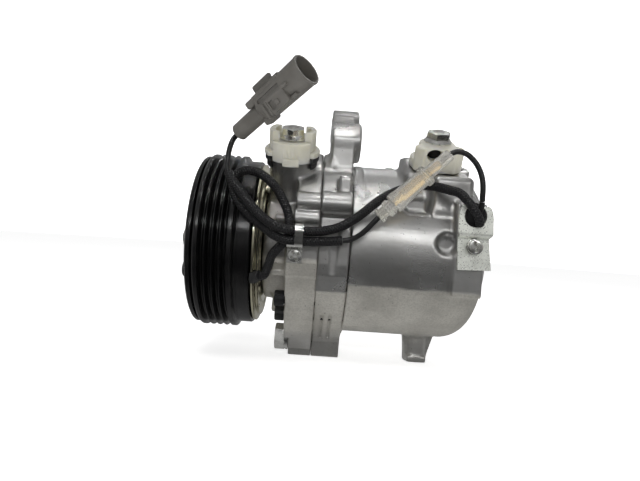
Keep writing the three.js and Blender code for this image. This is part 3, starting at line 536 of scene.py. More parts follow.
FEED_SLEEVE = [
    (12.9, -47.3, 31.8), (15.3, -48.6, 28), (19.2, -50.4, 23.6), (25.5, -52.7, 16.5),
    (31.5, -54.7, 11.4), (37.2, -55.4, 8.3), (42.1, -54.2, 7.1), (47, -52.2, 7.1),
    (53.4, -50.6, 7), (59.3, -50, 7.8), (65.1, -49.5, 9.6), (70.5, -49, 12.6),
    (75.8, -48.5, 16.7), (79.8, -48, 20.4), (83.8, -47.5, 23.8), (88.3, -47, 26.9),
    (92.8, -47, 29.1), (98.3, -47, 30.9), (104.3, -47, 32), (109.8, -47.5, 31.7),
    (114.9, -49.5, 30.5), (119.3, -52.3, 29), (122.2, -53.5, 26.2),
]
FEED_WIRE = [
    (12.7, -47.2, 32.2), (12.3, -46.9, 33), (12, -46.2, 36), (12, -45.6, 39.4), (12.2, -44.6, 42.9),
    (12.9, -43.6, 46.4), (13.7, -42, 48.9), (15.4, -41.9, 51),
]
BULLET_WIRE = [
    (67.7, -50, 3.8), (71, -50.5, 4.5), (74.4, -51.6, 6.4), (77.7, -52.8, 9.3),
    (80.6, -53.7, 12.7), (82.8, -54, 15.3),
]
SWITCH_WIRE = [
    (113.2, -54, 46.1), (116.2, -54, 47.4), (120.2, -54, 46.8), (123.8, -54, 44.2),
    (126.5, -54, 40.7), (128.3, -54, 36.4), (129, -54, 31.9), (129.2, -53.6, 28.4),
    (129.5, -53, 25.9),
]


def lead(name, route, diameter, material, slot, nodes, hollow=0.0, reverse=False):
    """A lead along its route. Returns the piece and its path in the frame."""
    line = smooth_route(route[::-1] if reverse else route)
    piece = tube(name, line, diameter, hollow=hollow)
    finish_piece(piece, "housing", material, slot, *nodes)
    return piece, [in_frame(p) for p in line]


coil_lead, coil_path = lead(
    "coil_lead_sleeve", COIL_LEAD, SLEEVE_DIAMETER, BRAID, "black_rubber", ["coil_lead"]
)
feed_sleeve, feed_path = lead(
    "feed_lead_sleeve", FEED_SLEEVE, SLEEVE_DIAMETER, BRAID, "black_rubber", ["feed_sleeve"], reverse=True
)
feed_wire, _ = lead("feed_lead_wire", FEED_WIRE, WIRE_DIAMETER, WIRE_SKIN, "black_rubber", ["feed_wire"])
bullet_wire, _ = lead(
    "bullet_lead_wire", BULLET_WIRE, WIRE_DIAMETER, WIRE_SKIN, "black_rubber", ["bullet_wire"]
)
switch_wire, switch_path = lead(
    "switch_lead_wire", SWITCH_WIRE, WIRE_DIAMETER, WIRE_SKIN, "black_rubber", ["switch_wire"]
)

# ---------------------------------------------------------------- CAD pieces that keep their shape


def dress(material, *nodes):
    for node in nodes:
        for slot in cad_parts[node].material_slots:
            slot.material = material


dress(STEEL, "pulley_bearing_outer", "pulley_bearing_inner", "pulley_bearing_cage", "rotor", "discharge_reed")
dress(STEEL, "front_needle_bearing", "rear_needle_bearing", *(f"vane_{i + 1}" for i in range(5)))
dress(DARK_STEEL, "nose_circlip")
dress(COPPER, "coil_winding")
dress(RUBBER, "shaft_seal", "front_block_seal", "rear_block_seal")
dress(CAST, "cylinder_block", "front_side_block", "rear_side_block")

# ---------------------------------------------------------------- castings

GRID = 0.6  # millimetres between the points of a casting's grid


def meet(a, b, edge):
    """The distance to where two solids overlap, with their common edge rounded."""
    a, b = a + edge, b + edge
    return np.minimum(np.maximum(a, b), 0) + np.hypot(np.maximum(a, 0), np.maximum(b, 0)) - edge


def soft_min(a, b, blend):
    h = np.maximum(blend - np.abs(a - b), 0) / blend
    return np.minimum(a, b) - h * h * blend / 4


def between(w, low, high):
    return np.abs(w - (low + high) / 2) - (high - low) / 2


def polygon_distance(u, v, points):
    best = np.full(np.broadcast(u, v).shape, 1e9, np.float32)
    inside = np.zeros(best.shape, bool)
    for (ax, ay), (bx, by) in zip(points, points[1:] + points[:1]):
        ex, ey = bx - ax, by - ay
        t = np.clip(((u - ax) * ex + (v - ay) * ey) / (ex * ex + ey * ey), 0, 1)
        best = np.minimum(best, (u - ax - ex * t) ** 2 + (v - ay - ey * t) ** 2)
        if ay != by:
            inside ^= ((ay > v) != (by > v)) & (u < ex * (v - ay) / ey + ax)
    best = np.sqrt(best)
    return np.where(inside, -best, best)


class Casting:
    """Distances to a casting's skin on a grid, below 0 inside. Surface nets turn them into a mesh."""

    def __init__(self, low, high):
        self.low = low
        axes = [np.arange(a, b, GRID, dtype=np.float32) for a, b in zip(low, high)]
        self.x, self.y, self.z = axes[0][:, None, None], axes[1][None, :, None], axes[2][None, None, :]
        self.d = np.full([len(axis) for axis in axes], 30, np.float32)
        self.height = self.z * math.cos(PORT_TILT) - self.y * math.sin(PORT_TILT)
        self.side = self.y * math.cos(PORT_TILT) + self.z * math.sin(PORT_TILT)

    def add(self, distance, blend=1.0):
        self.d = soft_min(self.d, distance, blend)

    def cut(self, distance, blend=0.6):
        self.d = -soft_min(-self.d, distance, blend)

    def rod_x(self, y, z, r, x0, x1, edge=0.6):
        return meet(np.hypot(self.y - y, self.z - z) - r, between(self.x, x0, x1), edge)

    def rod_y(self, x, z, r, y0, y1, edge=0.6):
        return meet(np.hypot(self.x - x, self.z - z) - r, between(self.y, y0, y1), edge)

    def rod_z(self, x, y, r, z0, z1, edge=0.6):
        return meet(np.hypot(self.x - x, self.y - y) - r, between(self.z, z0, z1), edge)

    def rod_port(self, x, side, r, h0, h1, edge=0.6):
        return meet(np.hypot(self.x - x, self.side - side) - r, between(self.height, h0, h1), edge)

    def box(self, x, y, z, edge=0.6):
        flat = meet(between(self.x, *x), between(self.y, *y), edge)
        return meet(flat, between(self.z, *z), edge)

    def port_box(self, x, side, height, edge=0.6):
        flat = meet(between(self.x, *x), between(self.side, *side), edge)
        return meet(flat, between(self.height, *height), edge)

    def prism_x(self, points, x0, x1, edge=0.6):
        return meet(polygon_distance(self.y, self.z, points), between(self.x, x0, x1), edge)

    def prism_y(self, points, y0, y1, edge=0.6):
        return meet(polygon_distance(self.x, self.z, points), between(self.y, y0, y1), edge)

    def piece(self, name):
        inside = self.d < 0
        corners = [(i, j, k) for i in (0, 1) for j in (0, 1) for k in (0, 1)]
        size = [n - 1 for n in inside.shape]
        filled = sum(
            inside[i : size[0] + i, j : size[1] + j, k : size[2] + k].astype(np.int8) for i, j, k in corners
        )
        active = (filled > 0) & (filled < 8)
        cells = np.argwhere(active)
        index = np.full(active.shape, -1, np.int32)
        index[active] = np.arange(len(cells))
        value = [self.d[tuple((cells + corner).T)] for corner in corners]
        total, hits = np.zeros((len(cells), 3)), np.zeros(len(cells))
        for a, one in enumerate(corners):
            for b, other in enumerate(corners):
                if b < a or sum(abs(p - q) for p, q in zip(one, other)) != 1:
                    continue
                crossing = (value[a] < 0) != (value[b] < 0)
                share = np.where(crossing, value[a] / np.where(crossing, value[a] - value[b], 1), 0)
                step = np.array(other) - np.array(one)
                total += crossing[:, None] * (np.array(one) + share[:, None] * step)
                hits += crossing
        points = np.array(self.low) + GRID * (cells + total / hits[:, None])
        quads = []
        for axis in range(3):
            one, two = (axis + 1) % 3, (axis + 2) % 3
            here, ahead = [slice(1, -1)] * 3, [slice(1, -1)] * 3
            here[axis], ahead[axis] = slice(0, -1), slice(1, None)
            starts_inside = inside[tuple(here)]
            edges = np.argwhere(starts_inside != inside[tuple(ahead)])
            outward = starts_inside[tuple(edges.T)]
            edges[:, one] += 1
            edges[:, two] += 1
            around = []
            for a, b in ((1, 1), (0, 1), (0, 0), (1, 0)):
                cell = edges.copy()
                cell[:, one] -= a
                cell[:, two] -= b
                around.append(index[tuple(cell.T)])
            quad = np.stack(around, axis=1)
            quads.append(np.where(outward[:, None], quad, quad[:, ::-1]))
        faces = np.concatenate(quads)
        mesh = bpy.data.meshes.new(name)
        mesh.vertices.add(len(points))
        mesh.vertices.foreach_set("co", points.astype(np.float32).ravel())
        mesh.loops.add(faces.size)
        mesh.loops.foreach_set("vertex_index", faces.astype(np.int32).ravel())
        mesh.polygons.add(len(faces))
        mesh.polygons.foreach_set("loop_start", np.arange(0, faces.size, 4, dtype=np.int32))
        mesh.update(calc_edges=True)
        made = bpy.data.objects.new(name, mesh)
        bpy.context.scene.collection.objects.link(made)
        modify(made, "SMOOTH", factor=0.5, iterations=2)
        return settle(made, smooth=180)


HEAD_LOWER_FACE, HEAD_UPPER_FACE, HEAD_REAR = 42, 45, 56.75
CENTRE_FRONT, CENTRE_REAR = 56.85, 72.0
SHELL_FRONT, SHELL_REAR = 72.1, 140
FLANGE_RADIUS, SHELL_RADIUS, SHELL_FILLET = 44, 45.5, 15.5
LUG_Z, LUG_RADIUS, FOOT_Z = -51.5, 8.5, -60
FRONT_PORT_X, REAR_PORT_X, FOOT_X = 40.5, 113, 115
BOLT_PLACES = [(-31.1, -26.7), (-20.75, -35.4), (31.1, -26.7), (32.6, 24.7)]
CLIP_SCREW, BRACKET_SCREW, SWITCH_PLACE = (46.2, -4.6), (128.6, 5.1), (127.5, 19.2)
HUMP = [(-20.5, 36), (-18, 44.5), (-12, 49.4), (-4, 49.2), (22, 30), (0, 10), (-22, 20)]


def bolt_holes(c, radius, x0, x1):
    for y, z in BOLT_PLACES:
        c.cut(c.rod_x(y, z, radius, x0, x1, 0))


def front_head():
    c = Casting((-2.8, -50, -61.5), (58, 46, 54))
    c.add(c.rod_x(0, 0, FLANGE_RADIUS, HEAD_UPPER_FACE, HEAD_REAR, 0.7))
    outline = np.hypot(c.y, c.z) - FLANGE_RADIUS
    outline = np.minimum(outline, np.hypot(c.y, c.z - LUG_Z) - LUG_RADIUS)
    skirt = [(-41.5, -14.5), (-28, -37.5), (-8, -54), (8, -54), (28, -37.5), (41.5, -14.5)]
    outline = soft_min(outline, polygon_distance(c.y, c.z, skirt), 4)
    outline = np.minimum(outline, polygon_distance(c.y, c.z, [(-7, -60), (7, -60), (8, -50), (-8, -50)]))
    lower = meet(outline, between(c.x, HEAD_LOWER_FACE, HEAD_REAR), 0.4)
    c.add(meet(lower, c.z - 1, 0.8), 0.8)
    c.add(c.prism_x(HUMP, HEAD_UPPER_FACE, HEAD_REAR, 1.2), 2.5)
    c.add(c.box((HEAD_LOWER_FACE, HEAD_REAR), (-45.8, -28), (-8, 1), 0.7), 0.8)
    c.add(c.box((HEAD_UPPER_FACE, HEAD_REAR), (-45.4, -28), (-2, 8.4), 0.7), 0.8)
    ledge = [(-45.8, -8), (-43.2, -14.5), (-28, -14.5), (-28, -7)]
    c.add(c.prism_x(ledge, HEAD_LOWER_FACE, HEAD_REAR, 0.5), 1.2)
    c.add(c.rod_x(-40.6, 20.8, 5.2, HEAD_UPPER_FACE, HEAD_REAR, 0.5), 0.8)
    c.add(c.rod_x(-42.4, 13.0, 4.4, HEAD_UPPER_FACE - 0.5, HEAD_REAR, 0.5), 0.8)
    # neck towards the pulley, with ribs round it
    c.add(meet(np.hypot(c.y, c.z) - 31.4 - 0.12 * (c.x - 42), between(c.x, 29.2, 47), 1.6), 2.5)
    c.add(c.rod_x(0, 0, 20.4, 18.9, 34, 0.4), 1.0)
    c.add(c.rod_x(0, 0, 17.5, -1.6, 22, 0.4), 0.6)
    for degrees in (160, 200, 240, 300, 340):
        a = math.radians(degrees)
        along = c.y * math.cos(a) + c.z * math.sin(a)
        across = c.z * math.cos(a) - c.y * math.sin(a)
        rib = meet(meet(np.abs(across) - 1.6, between(along, 25, 40), 0.5), between(c.x, 35, 46), 0.5)
        c.add(rib, 2.5)
    # suction port
    c.add(c.rod_port(FRONT_PORT_X, 0, 11.3, 20, 51.4, 0.5), 2.0)
    # round machined seat under each bolt head
    for y, z in BOLT_PLACES[:3]:
        c.cut(c.rod_x(y, z, 5.4, 38, 42.3, 0.2), 0.4)
    c.cut(c.rod_x(0, 0, 12.4, 29, 60, 0))
    c.cut(c.rod_x(0, 0, 8.8, 21, 31, 0), 0.2)
    c.cut(c.rod_x(0, 0, 13.2, -4, 22, 0), 0.2)
    c.cut(c.rod_x(0, 0, 33, 49.5, 60, 0))
    bolt_holes(c, 2.7, 38, 60)
    c.cut(c.rod_x(0, LUG_Z, 4.0, 38, 60, 0))
    c.cut(c.box((30, 44.4), (-13, 13), (-70, -44.1), 0.8))
    c.cut(c.rod_y(*CLIP_SCREW, 2.0, -52, -38, 0))
    c.cut(c.rod_port(FRONT_PORT_X, 0, 4, 40, 60, 0))
    return c.piece("front_head_casting")


def centre_housing():
    c = Casting((55.5, -49, -61.5), (77.5, 46, 79.5))
    c.add(c.rod_x(0, 0, FLANGE_RADIUS, CENTRE_FRONT, CENTRE_REAR, 0.35))
    neck = [
        (-18, -38), (-11.5, -45.5), (-8.6, LUG_Z), (-7.2, FOOT_Z), (7.2, FOOT_Z), (8.6, LUG_Z),
        (11.5, -45.5), (18, -38),
    ]
    c.add(c.prism_x(neck, CENTRE_FRONT, CENTRE_REAR, 0.35), 6)
    # boss in line with the front head's, and the step above it
    c.add(c.rod_x(-40.2, 20.9, 6.1, CENTRE_FRONT, 71.5, 0.6), 1.6)
    c.add(c.box((64.6, 71.6), (-38.6, -22), (20, 35.8), 2.2), 1.2)
    c.add(c.prism_x(HUMP, CENTRE_FRONT, 62.4, 1.2), 2.0)
    # flat side facing the wiring, sloping back below, with a tapered dent
    side = [(-44.6, 9.5), (-44.6, -8), (-43.9, -13), (-39.6, -21.8), (-30, -21.8), (-30, 9.5)]
    c.add(c.prism_x(side, CENTRE_FRONT, 71.4, 0.5), 0.8)
    c.cut(c.prism_y([(61.4, 9), (66.6, 9), (65.4, -12.6), (62.8, -12.6)], -60, -43.7, 0.3), 0.5)
    # two fine grooves low on the neck
    for x in (61.2, 65.2):
        skin = np.maximum(np.abs(c.x - x) - 0.5, between(c.z, -49, -34))
        c.cut(np.maximum(np.maximum(skin, -c.d - 0.9), c.y), 0.2)
    # mounting ear: two eyes on one arm
    web = [(-18.6, 58), (-18.8, 30), (-20, 20), (14, 34), (14, 66), (-4, 72)]
    c.add(c.prism_x(web, 60.4, 72.6, 1.2), 3.0)
    c.add(c.rod_x(5, 68.4, 9.1, 60.4, 75.2, 0.9), 2.2)
    c.add(c.rod_x(-8, 57, 10.5, 60.4, 76, 1.4), 1.6)
    c.cut(c.rod_x(5, 68.4, 4.2, 58, 78, 0.2), 0.5)
    c.cut(c.rod_x(-8, 57, 4.2, 58, 78, 0.2), 0.5)
    c.cut(c.rod_x(0, 0, 38, 55, 74, 0), 0.3)
    bolt_holes(c, 2.0, 55, 74)
    c.cut(c.rod_x(0, LUG_Z, 4.0, 55, 68, 0))
    return c.piece("centre_housing_casting")


def rear_shell():
    c = Casting((71.1, -48.5, -61.5), (141.5, 46.8, 52.5))
    radius = np.hypot(c.y, c.z)
    skin = SHELL_RADIUS - 0.35 + 0.3 * (c.z < -17.6 + 0.35 * np.sin(c.x * 1.9) + 0.25 * np.sin(c.x * 4.3))
    c.add(np.maximum(meet(radius - skin, c.x - SHELL_REAR, SHELL_FILLET), SHELL_FRONT - c.x))
    # block that carries the discharge port, its front wall, and the boss beside it
    c.add(c.port_box((97.5, 129.5), (-12.5, 13.5), (26, 50.3), 3.0), 3.0)
    c.add(c.box((109.5, 129.8), (-41.3, -14), (19, 38.6), 3.2), 3.5)
    c.add(c.rod_port(124.4, -1, 7.2, 40, 50.4, 1.0), 1.5)
    c.add(c.port_box((99, 117), (8, 26), (34, 49.3), 4.5), 3.0)
    # hollow under the port's front corner
    c.cut(c.prism_y([(94, 34), (94, 24), (99, 19.6), (108.6, 19.6), (108.6, 36)], -60, -35.4, 2.2), 2.4)
    # pad of the switch bracket, with the dip beside it
    c.add(c.box((120.6, 134.6), (-46.1, -30), (-19, 25.5), 0.8), 2.2)
    c.cut(c.rod_y(117.2, 5.5, 4.6, -60, -41.6, 2.0), 2.4)
    # oblong outline and small mark near the front edge
    oblong = meet(between(c.x, 73.4, 77.8), between(c.z, 24, 44.6), 2.2)
    c.add(meet(meet(np.abs(oblong) - 0.35, c.y + 6, 0.1), radius - SHELL_RADIUS - 0.1, 0.1), 0.4)
    c.add(c.box((90.5, 95), (-9, -5), (40, 45.2), 0.3), 0.4)
    # foot: a round boss between two thin webs
    web = [
        (FOOT_X - 8.4, -38), (FOOT_X - 7.6, -46), (FOOT_X - 5.2, FOOT_Z), (FOOT_X + 5.2, FOOT_Z),
        (FOOT_X + 9.4, -46), (FOOT_X + 10, -38),
    ]
    c.add(c.prism_y(web, -2.2, 2.2, 0.7), 1.2)
    c.add(c.rod_z(FOOT_X - 0.5, 0, 6.2, FOOT_Z, -38, 0.6), 1.6)
    c.add(c.box((FOOT_X - 5.4, FOOT_X + 5.2), (-6.4, 6.4), (FOOT_Z, -56.5), 0.8), 1.4)
    c.cut(np.maximum(meet(radius - 40.5, c.x - 135, 10), 60 - c.x), 0.3)
    for y, z in BOLT_PLACES:
        c.add(c.rod_x(y, z, 4.6, SHELL_FRONT, 90, 0.2), 0.3)
    bolt_holes(c, 2.7, 71, 86)
    c.cut(c.rod_port(REAR_PORT_X, 0, 4, 30, 60, 0))
    c.cut(c.rod_port(124.4, -1, 3.3, 42, 60, 0), 1.2)
    c.cut(c.rod_y(*BRACKET_SCREW, 2.0, -60, -41, 0))
    c.cut(c.rod_z(FOOT_X, 0, 3.4, -70, -49, 0), 0.8)
    # the foot's underside is flat
    c.cut(c.z - FOOT_Z, 0.2)
    return c.piece("rear_shell_casting")


finish_piece(front_head(), "housing", CAST, "cast_aluminium", "front_head")
finish_piece(centre_housing(), "housing", CAST_CENTRE, "cast_aluminium", "centre_housing")
finish_piece(rear_shell(), "housing", CAST_SHELL, "cast_aluminium", "rear_shell")

# ---------------------------------------------------------------- pulley and clutch

RIB_PITCH, GROOVES, PULLEY_RADIUS, DRUM_RADIUS = 3.56, 4, 46.6, 44.1
RIVET_PLACES = [(31 * math.cos(a), 31 * math.sin(a)) for a in (math.radians(90 + 120 * i) for i in range(3))]


def make_pulley():
    ribs = []
    for i in range(GROOVES):
        crest, following = i * RIB_PITCH, (i + 1) * RIB_PITCH
        ribs += [
            (crest + 0.15, PULLEY_RADIUS),
            (crest + 0.42, PULLEY_RADIUS - 0.25),
            (crest + 1.40, PULLEY_RADIUS - 2.75),
            (crest + 1.62, PULLEY_RADIUS - 3.0),
            (following - 1.62, PULLEY_RADIUS - 3.0),
            (following - 1.40, PULLEY_RADIUS - 2.75),
            (following - 0.42, PULLEY_RADIUS - 0.25),
            (following - 0.15, PULLEY_RADIUS),
        ]
    profile = [
        (
            -2.4, 25.3
        ), (-2.4, 28), (-1.2, 29), (-1.2, 38), (-2.4, 39), (-2.4, 45.3), (-2.1, 45.8), (-1.3, 46.5),
        (-0.9, PULLEY_RADIUS), *ribs, (16.0, PULLEY_RADIUS), (16.4, 46.2), (17.1, 44.4), (17.5, DRUM_RADIUS),
        (18.2, 43.9), (18.6, DRUM_RADIUS), (23.9, DRUM_RADIUS), (24.4, 43.7), (24.6, 43.1), (24.6, 41.0),
        (24.3, 40.6), (2.4, 39.6), (2, 39.2), (2, 28.6), (2.4, 28.2), (19.6, 28.2), (19.6, 25.3),
    ]
    return turned("pulley_ribbed", profile, 192, 32)


def make_armature():
    plate = turned(
        "armature_plate_riveted",
        [
            (-3, 18.5), (-3, 44.6), (-3.5, 45.2), (-5.0, 45.2), (-5.5, 44.8), (-6.2, 43.6), (-6.2, 20),
            (-5.4, 18.5),
        ],
        160,
        32,
    )
    # curved slots that keep the magnet's field in the rim, and balance notches in the rim
    slots = []
    for ring_radius, start in ((38, 20), (26.5, 80)):
        for i in range(3):
            first = math.radians(start + 120 * i)
            arc = [first + math.radians(78) * j / 12 for j in range(13)]
            outer = [((ring_radius + 1.1) * math.cos(a), (ring_radius + 1.1) * math.sin(a)) for a in arc]
            inner = [
                ((ring_radius - 1.1) * math.cos(a), (ring_radius - 1.1) * math.sin(a)) for a in arc[::-1]
            ]
            slots.append(polygon_prism("slot", outer + inner, -9, -1, ALONG_X))
    for degrees in (158, 214, 331):
        a = math.radians(degrees)
        slots.append(
            rod(
                "notch", (-9, 46.2 * math.cos(a), 46.2 * math.sin(a)),
                (-5, 46.2 * math.cos(a), 46.2 * math.sin(a)), 1.9, 20,
            )
        )
    cut(plate, *slots)
    rivets = []
    for y, z in RIVET_PLACES:
        head = spun(
            "rivet",
            [(0, 0), (2.6, 0), (2.6, 2.95), (4.2, 2.95), (4.2, 3.4), (3.4, 4.1), (1.6, 4.4), (0, 4.4)],
            40,
            40,
            Matrix.Translation((-5.8, y, z)) @ Matrix.Rotation(-math.pi / 2, 4, "Y"),
        )
        rivets.append(head)
    return join(plate, *rivets)


def make_hub_spring():
    arms = []
    for y, z in RIVET_PLACES:
        across = Vector((-z, y)).normalized()
        tip = Vector((y, z))
        points = [across * 12.6, tip + across * 6.2, tip - across * 6.2, -across * 12.6]
        arm = polygon_prism("arm", [tuple(p) for p in points], -8, -6.8, ALONG_X)
        arms += [arm, polygon_prism("arm_end", circle(6.3, 40, y, z), -8, -6.8, ALONG_X)]
    spring = polygon_prism("hub_spring_leaf", circle(15.5, 64), -8, -6.8, ALONG_X)
    join(spring, *arms)
    holes = [polygon_prism("hole", circle(3.2, 32, y, z), -11, -6, ALONG_X) for y, z in RIVET_PLACES]
    cut(spring, *holes, polygon_prism("middle", circle(9.3, 48), -11, -6, ALONG_X))
    return rounded(spring, 0.18, 2)


def hex_head(name, across_corners, low, high, flange=None, dish=0.5):
    """An upright hexagon head with chamfered corners, on a round flange that slopes down to its rim."""
    head = polygon_prism(name, circle(across_corners, 6), low, high)
    shape = [
        (0, low - 1), (across_corners + 1, low - 1), (across_corners + 1, high - 0.9),
        (across_corners * 0.9, high + 0.05), (0, high + 0.05),
    ]
    boolean(head, "INTERSECT", spun("chamfer", shape, 48))
    if dish:
        hollow = spun(
            "dish",
            [
                (0, high - dish), (across_corners * 0.5, high - dish), (across_corners * 0.66, high + 1),
                (0, high + 1),
            ],
            40,
        )
        cut(head, hollow)
    if flange:
        rim = spun(
            "rim",
            [
                (0, low - 1.9), (flange - 0.2, low - 1.9), (flange, low - 1.7), (flange, low - 1.1),
                (across_corners * 0.93, low + 0.5), (0, low + 0.5),
            ],
            64,
        )
        join(head, rim)
    return rounded(head, 0.14, 2, 25)


finish_piece(make_pulley(), "pulley", PAINT, "black_paint", "pulley")
finish_piece(make_armature(), "armature", PAINT, "black_paint", "armature_plate")
finish_piece(make_hub_spring(), "shaft", DARK_STEEL, "dark_steel", "hub_spring")
finish_piece(
    turned(
        "clutch_hub_flanged",
        [
            (-10.8, 6.6), (-10.8, 10.8), (-10.4, 11.4), (-8.7, 12.4), (-8.3, 12.2), (-8.3, 9), (-0.9, 9),
            (-0.6, 8.7), (-0.6, 6.6),
        ],
        64,
    ),
    "shaft", PAINT, "black_paint", "clutch_hub",
)


def make_nut():
    """The nut's z runs forwards, from its seat on the hub."""
    nut = hex_head("shaft_nut_flanged", 6.6, 1.9, 5.6, 7.6, 0)
    cut(nut, rod("bore", (0, 0, -1), (0, 0, 8), 4.3, 40))
    return place(nut, Matrix.Translation((-11.1, 0, 0)) @ Matrix.Rotation(-math.pi / 2, 4, "Y"))


finish_piece(make_nut(), "shaft", ZINC, "zinc_plate", "shaft_nut")
shaft_profile = [
    (-17.9, 0), (
        -17.9, 2.9
    ), (-17.2, 3.7), (-16.4, 4), (-11.1, 4), (-10.5, 6.2), (4, 6.2), (4.8, 7.4), (30, 7.4),
    (30.6, 8), (69, 8), (69.4, 9), (99, 9), (99.4, 8), (113, 8), (114, 7), (114, 0),
]
finish_piece(turned("drive_shaft_turned", shaft_profile, 64), "shaft", STEEL, "steel", "drive_shaft")

# ---------------------------------------------------------------- field coil


def make_field_coil():
    coil = turned(
        "field_coil_case",
        [
            (5.4, 29.2), (5.4, 31.6), (
                24.2, 31.6
            ), (24.2, 36), (5.4, 36), (5.4, 38.6), (24.4, 38.9), (25.0, 42.2),
            (25.4, 42.8), (26.3, 42.8), (26.7, 42.3), (27.0, 40.4), (27.5, 39.9), (28.1, 39.7), (28.5, 39.2),
            (
                28.6, 36.6
            ), (28.1, 35.9), (27.6, 35.2), (27.7, 33.0), (28.8, 32.4), (28.8, 21), (26.2, 21), (26.2, 29.2),
        ],
        160,
        28,
    )
    holes = []
    for degrees in (20, 75, 130, 185, 240, 318):
        a = math.radians(degrees)
        holes.append(
            rod(
                "hole", (24, 37.4 * math.cos(a), 37.4 * math.sin(a)),
                (31, 37.4 * math.cos(a), 37.4 * math.sin(a)), 1.3, 20,
            )
        )
    return cut(coil, *holes)


def nozzle(name, end, before, length, tip, foot, segments=32):
    """A rubber nozzle that faces the end of a lead and goes on in its line."""
    end, before = Vector(end), Vector(before)
    heading = (end - before).normalized()
    profile = [
        (0, 0), (tip - 0.3, 0), (tip, 0.3), (tip, length * 0.35), (foot, length * 0.6), (foot, length),
        (0, length),
    ]
    turn = heading.to_track_quat("Z", "Y").to_matrix().to_4x4()
    return spun(name, profile, segments, 40, Matrix.Translation(end + heading * 0.3) @ turn)


def make_coil_grommet():
    piece = nozzle("coil_lead_grommet", COIL_LEAD[0], COIL_LEAD[1], 6, 2.5, 3.3)
    tool = turned(
        "tool", [(20, 0), (20, 47), (24.9, 47), (24.9, 43.1), (26.7, 43.1), (29.1, 35.4), (29.1, 0)], 96
    )
    return cut(piece, tool)


finish_piece(make_field_coil(), "housing", YELLOW_ZINC, "yellow_zinc", "field_coil")
finish_piece(make_coil_grommet(), "housing", RUBBER, "black_rubber", "coil_grommet")

# ---------------------------------------------------------------- bolts and screws


KNURL_RING, KNURLS = 4.12, 24


def make_socket_bolt(index):
    y, z = BOLT_PLACES[index]
    seat = HEAD_UPPER_FACE if z > 0 else HEAD_LOWER_FACE
    bolt = spun(
        f"housing_bolt_{index + 1}_socket_head",
        [(0, -42), (2.2, -42), (2.4, -41.6), (2.4, 0.3), (4, 0.3), (4, 4.5), (3.6, 5), (0, 5)],
        48,
    )
    # fine knurling round the head
    knurls = []
    for across, up in circle(KNURL_RING, KNURLS):
        knurls.append(rod("knurl", (across, up, 0.8), (across, up, 4.4), 0.24, 6))
    cut(bolt, rod("socket", (0, 0, 2.6), (0, 0, 6), 2.1, 6), *knurls)
    return place(bolt, Matrix.Translation((seat, y, z)) @ Matrix.Rotation(-math.pi / 2, 4, "Y"))


for index in range(len(BOLT_PLACES)):
    finish_piece(make_socket_bolt(index), "housing", DARK_STEEL, "dark_steel", f"housing_bolt_{index + 1}")


def make_lug_bolt():
    bolt = hex_head("lug_bolt_flanged", 7.1, 1.9, 7.5, 7.1, 0.6)
    join(bolt, rod("shank", (0, 0, -22.9), (0, 0, 1), 3.7, 40))
    turn = Matrix.Rotation(-math.pi / 2, 4, "Y") @ Matrix.Rotation(math.radians(12), 4, "Z")
    return place(bolt, Matrix.Translation((44.1, 0, LUG_Z)) @ turn)


finish_piece(make_lug_bolt(), "housing", ZINC, "zinc_plate", "lug_bolt")


def make_pan_screw(name, seat, radius, spin):
    """A cross-recess pan head on a spring washer and a flat washer. The screw goes in along +Y."""
    head = spun(
        name,
        [(0, -6.5), (1.7, -6.5), (1.7, 0), (radius, 0), (radius, 0.55),
         (radius - 0.7, 0.65), (radius - 0.7, 0.85),
         (radius - 0.45, 0.95), (radius - 0.45, 1.45), (radius - 0.75, 1.55), (radius - 0.4, 1.75),
         (radius - 0.15, 2.0), (radius - 0.2, 2.6), (radius - 0.6, 3.0), (0, 3.05)],
        56,
    )
    wings = []
    for i in range(2):
        wing = block("wing", (-2.6, -0.6, 0.9), (2.6, 0.6, 3.6))
        for vertex in wing.data.vertices:
            if vertex.co.z < 2:
                vertex.co.x *= 0.4
        wings.append(place(wing, Matrix.Rotation(spin + i * math.pi / 2, 4, "Z")))
    cut(head, *wings)
    rounded(head, 0.08, 1, 30)
    return place(head, Matrix.Translation(seat) @ TOWARDS_MINUS_Y)


SWITCH_PAD, CLIP_PAD = -46.2, -45.8
finish_piece(
    make_pan_screw("clip_screw_cross_head", (CLIP_SCREW[0], CLIP_PAD - 1.6, CLIP_SCREW[1]), 3.5, 0.5),
    "housing", ZINC, "zinc_plate", "clip_screw",
)
finish_piece(
    make_pan_screw(
        "bracket_screw_cross_head", (BRACKET_SCREW[0], SWITCH_PAD - 2.1, BRACKET_SCREW[1]), 3.7, 0.2
    ),
    "housing", ZINC, "zinc_plate", "bracket_screw",
)

# ---------------------------------------------------------------- port closures

CAP_SEAT, REAR_CAP_SEAT = 9.1, 13.2
FRONT_PORT_TOP, REAR_PORT_TOP = 51.5, 50.5


def shared(piece, *others):
    """What a piece has in common with each of the others."""
    return boolean(piece, "INTERSECT", *others)


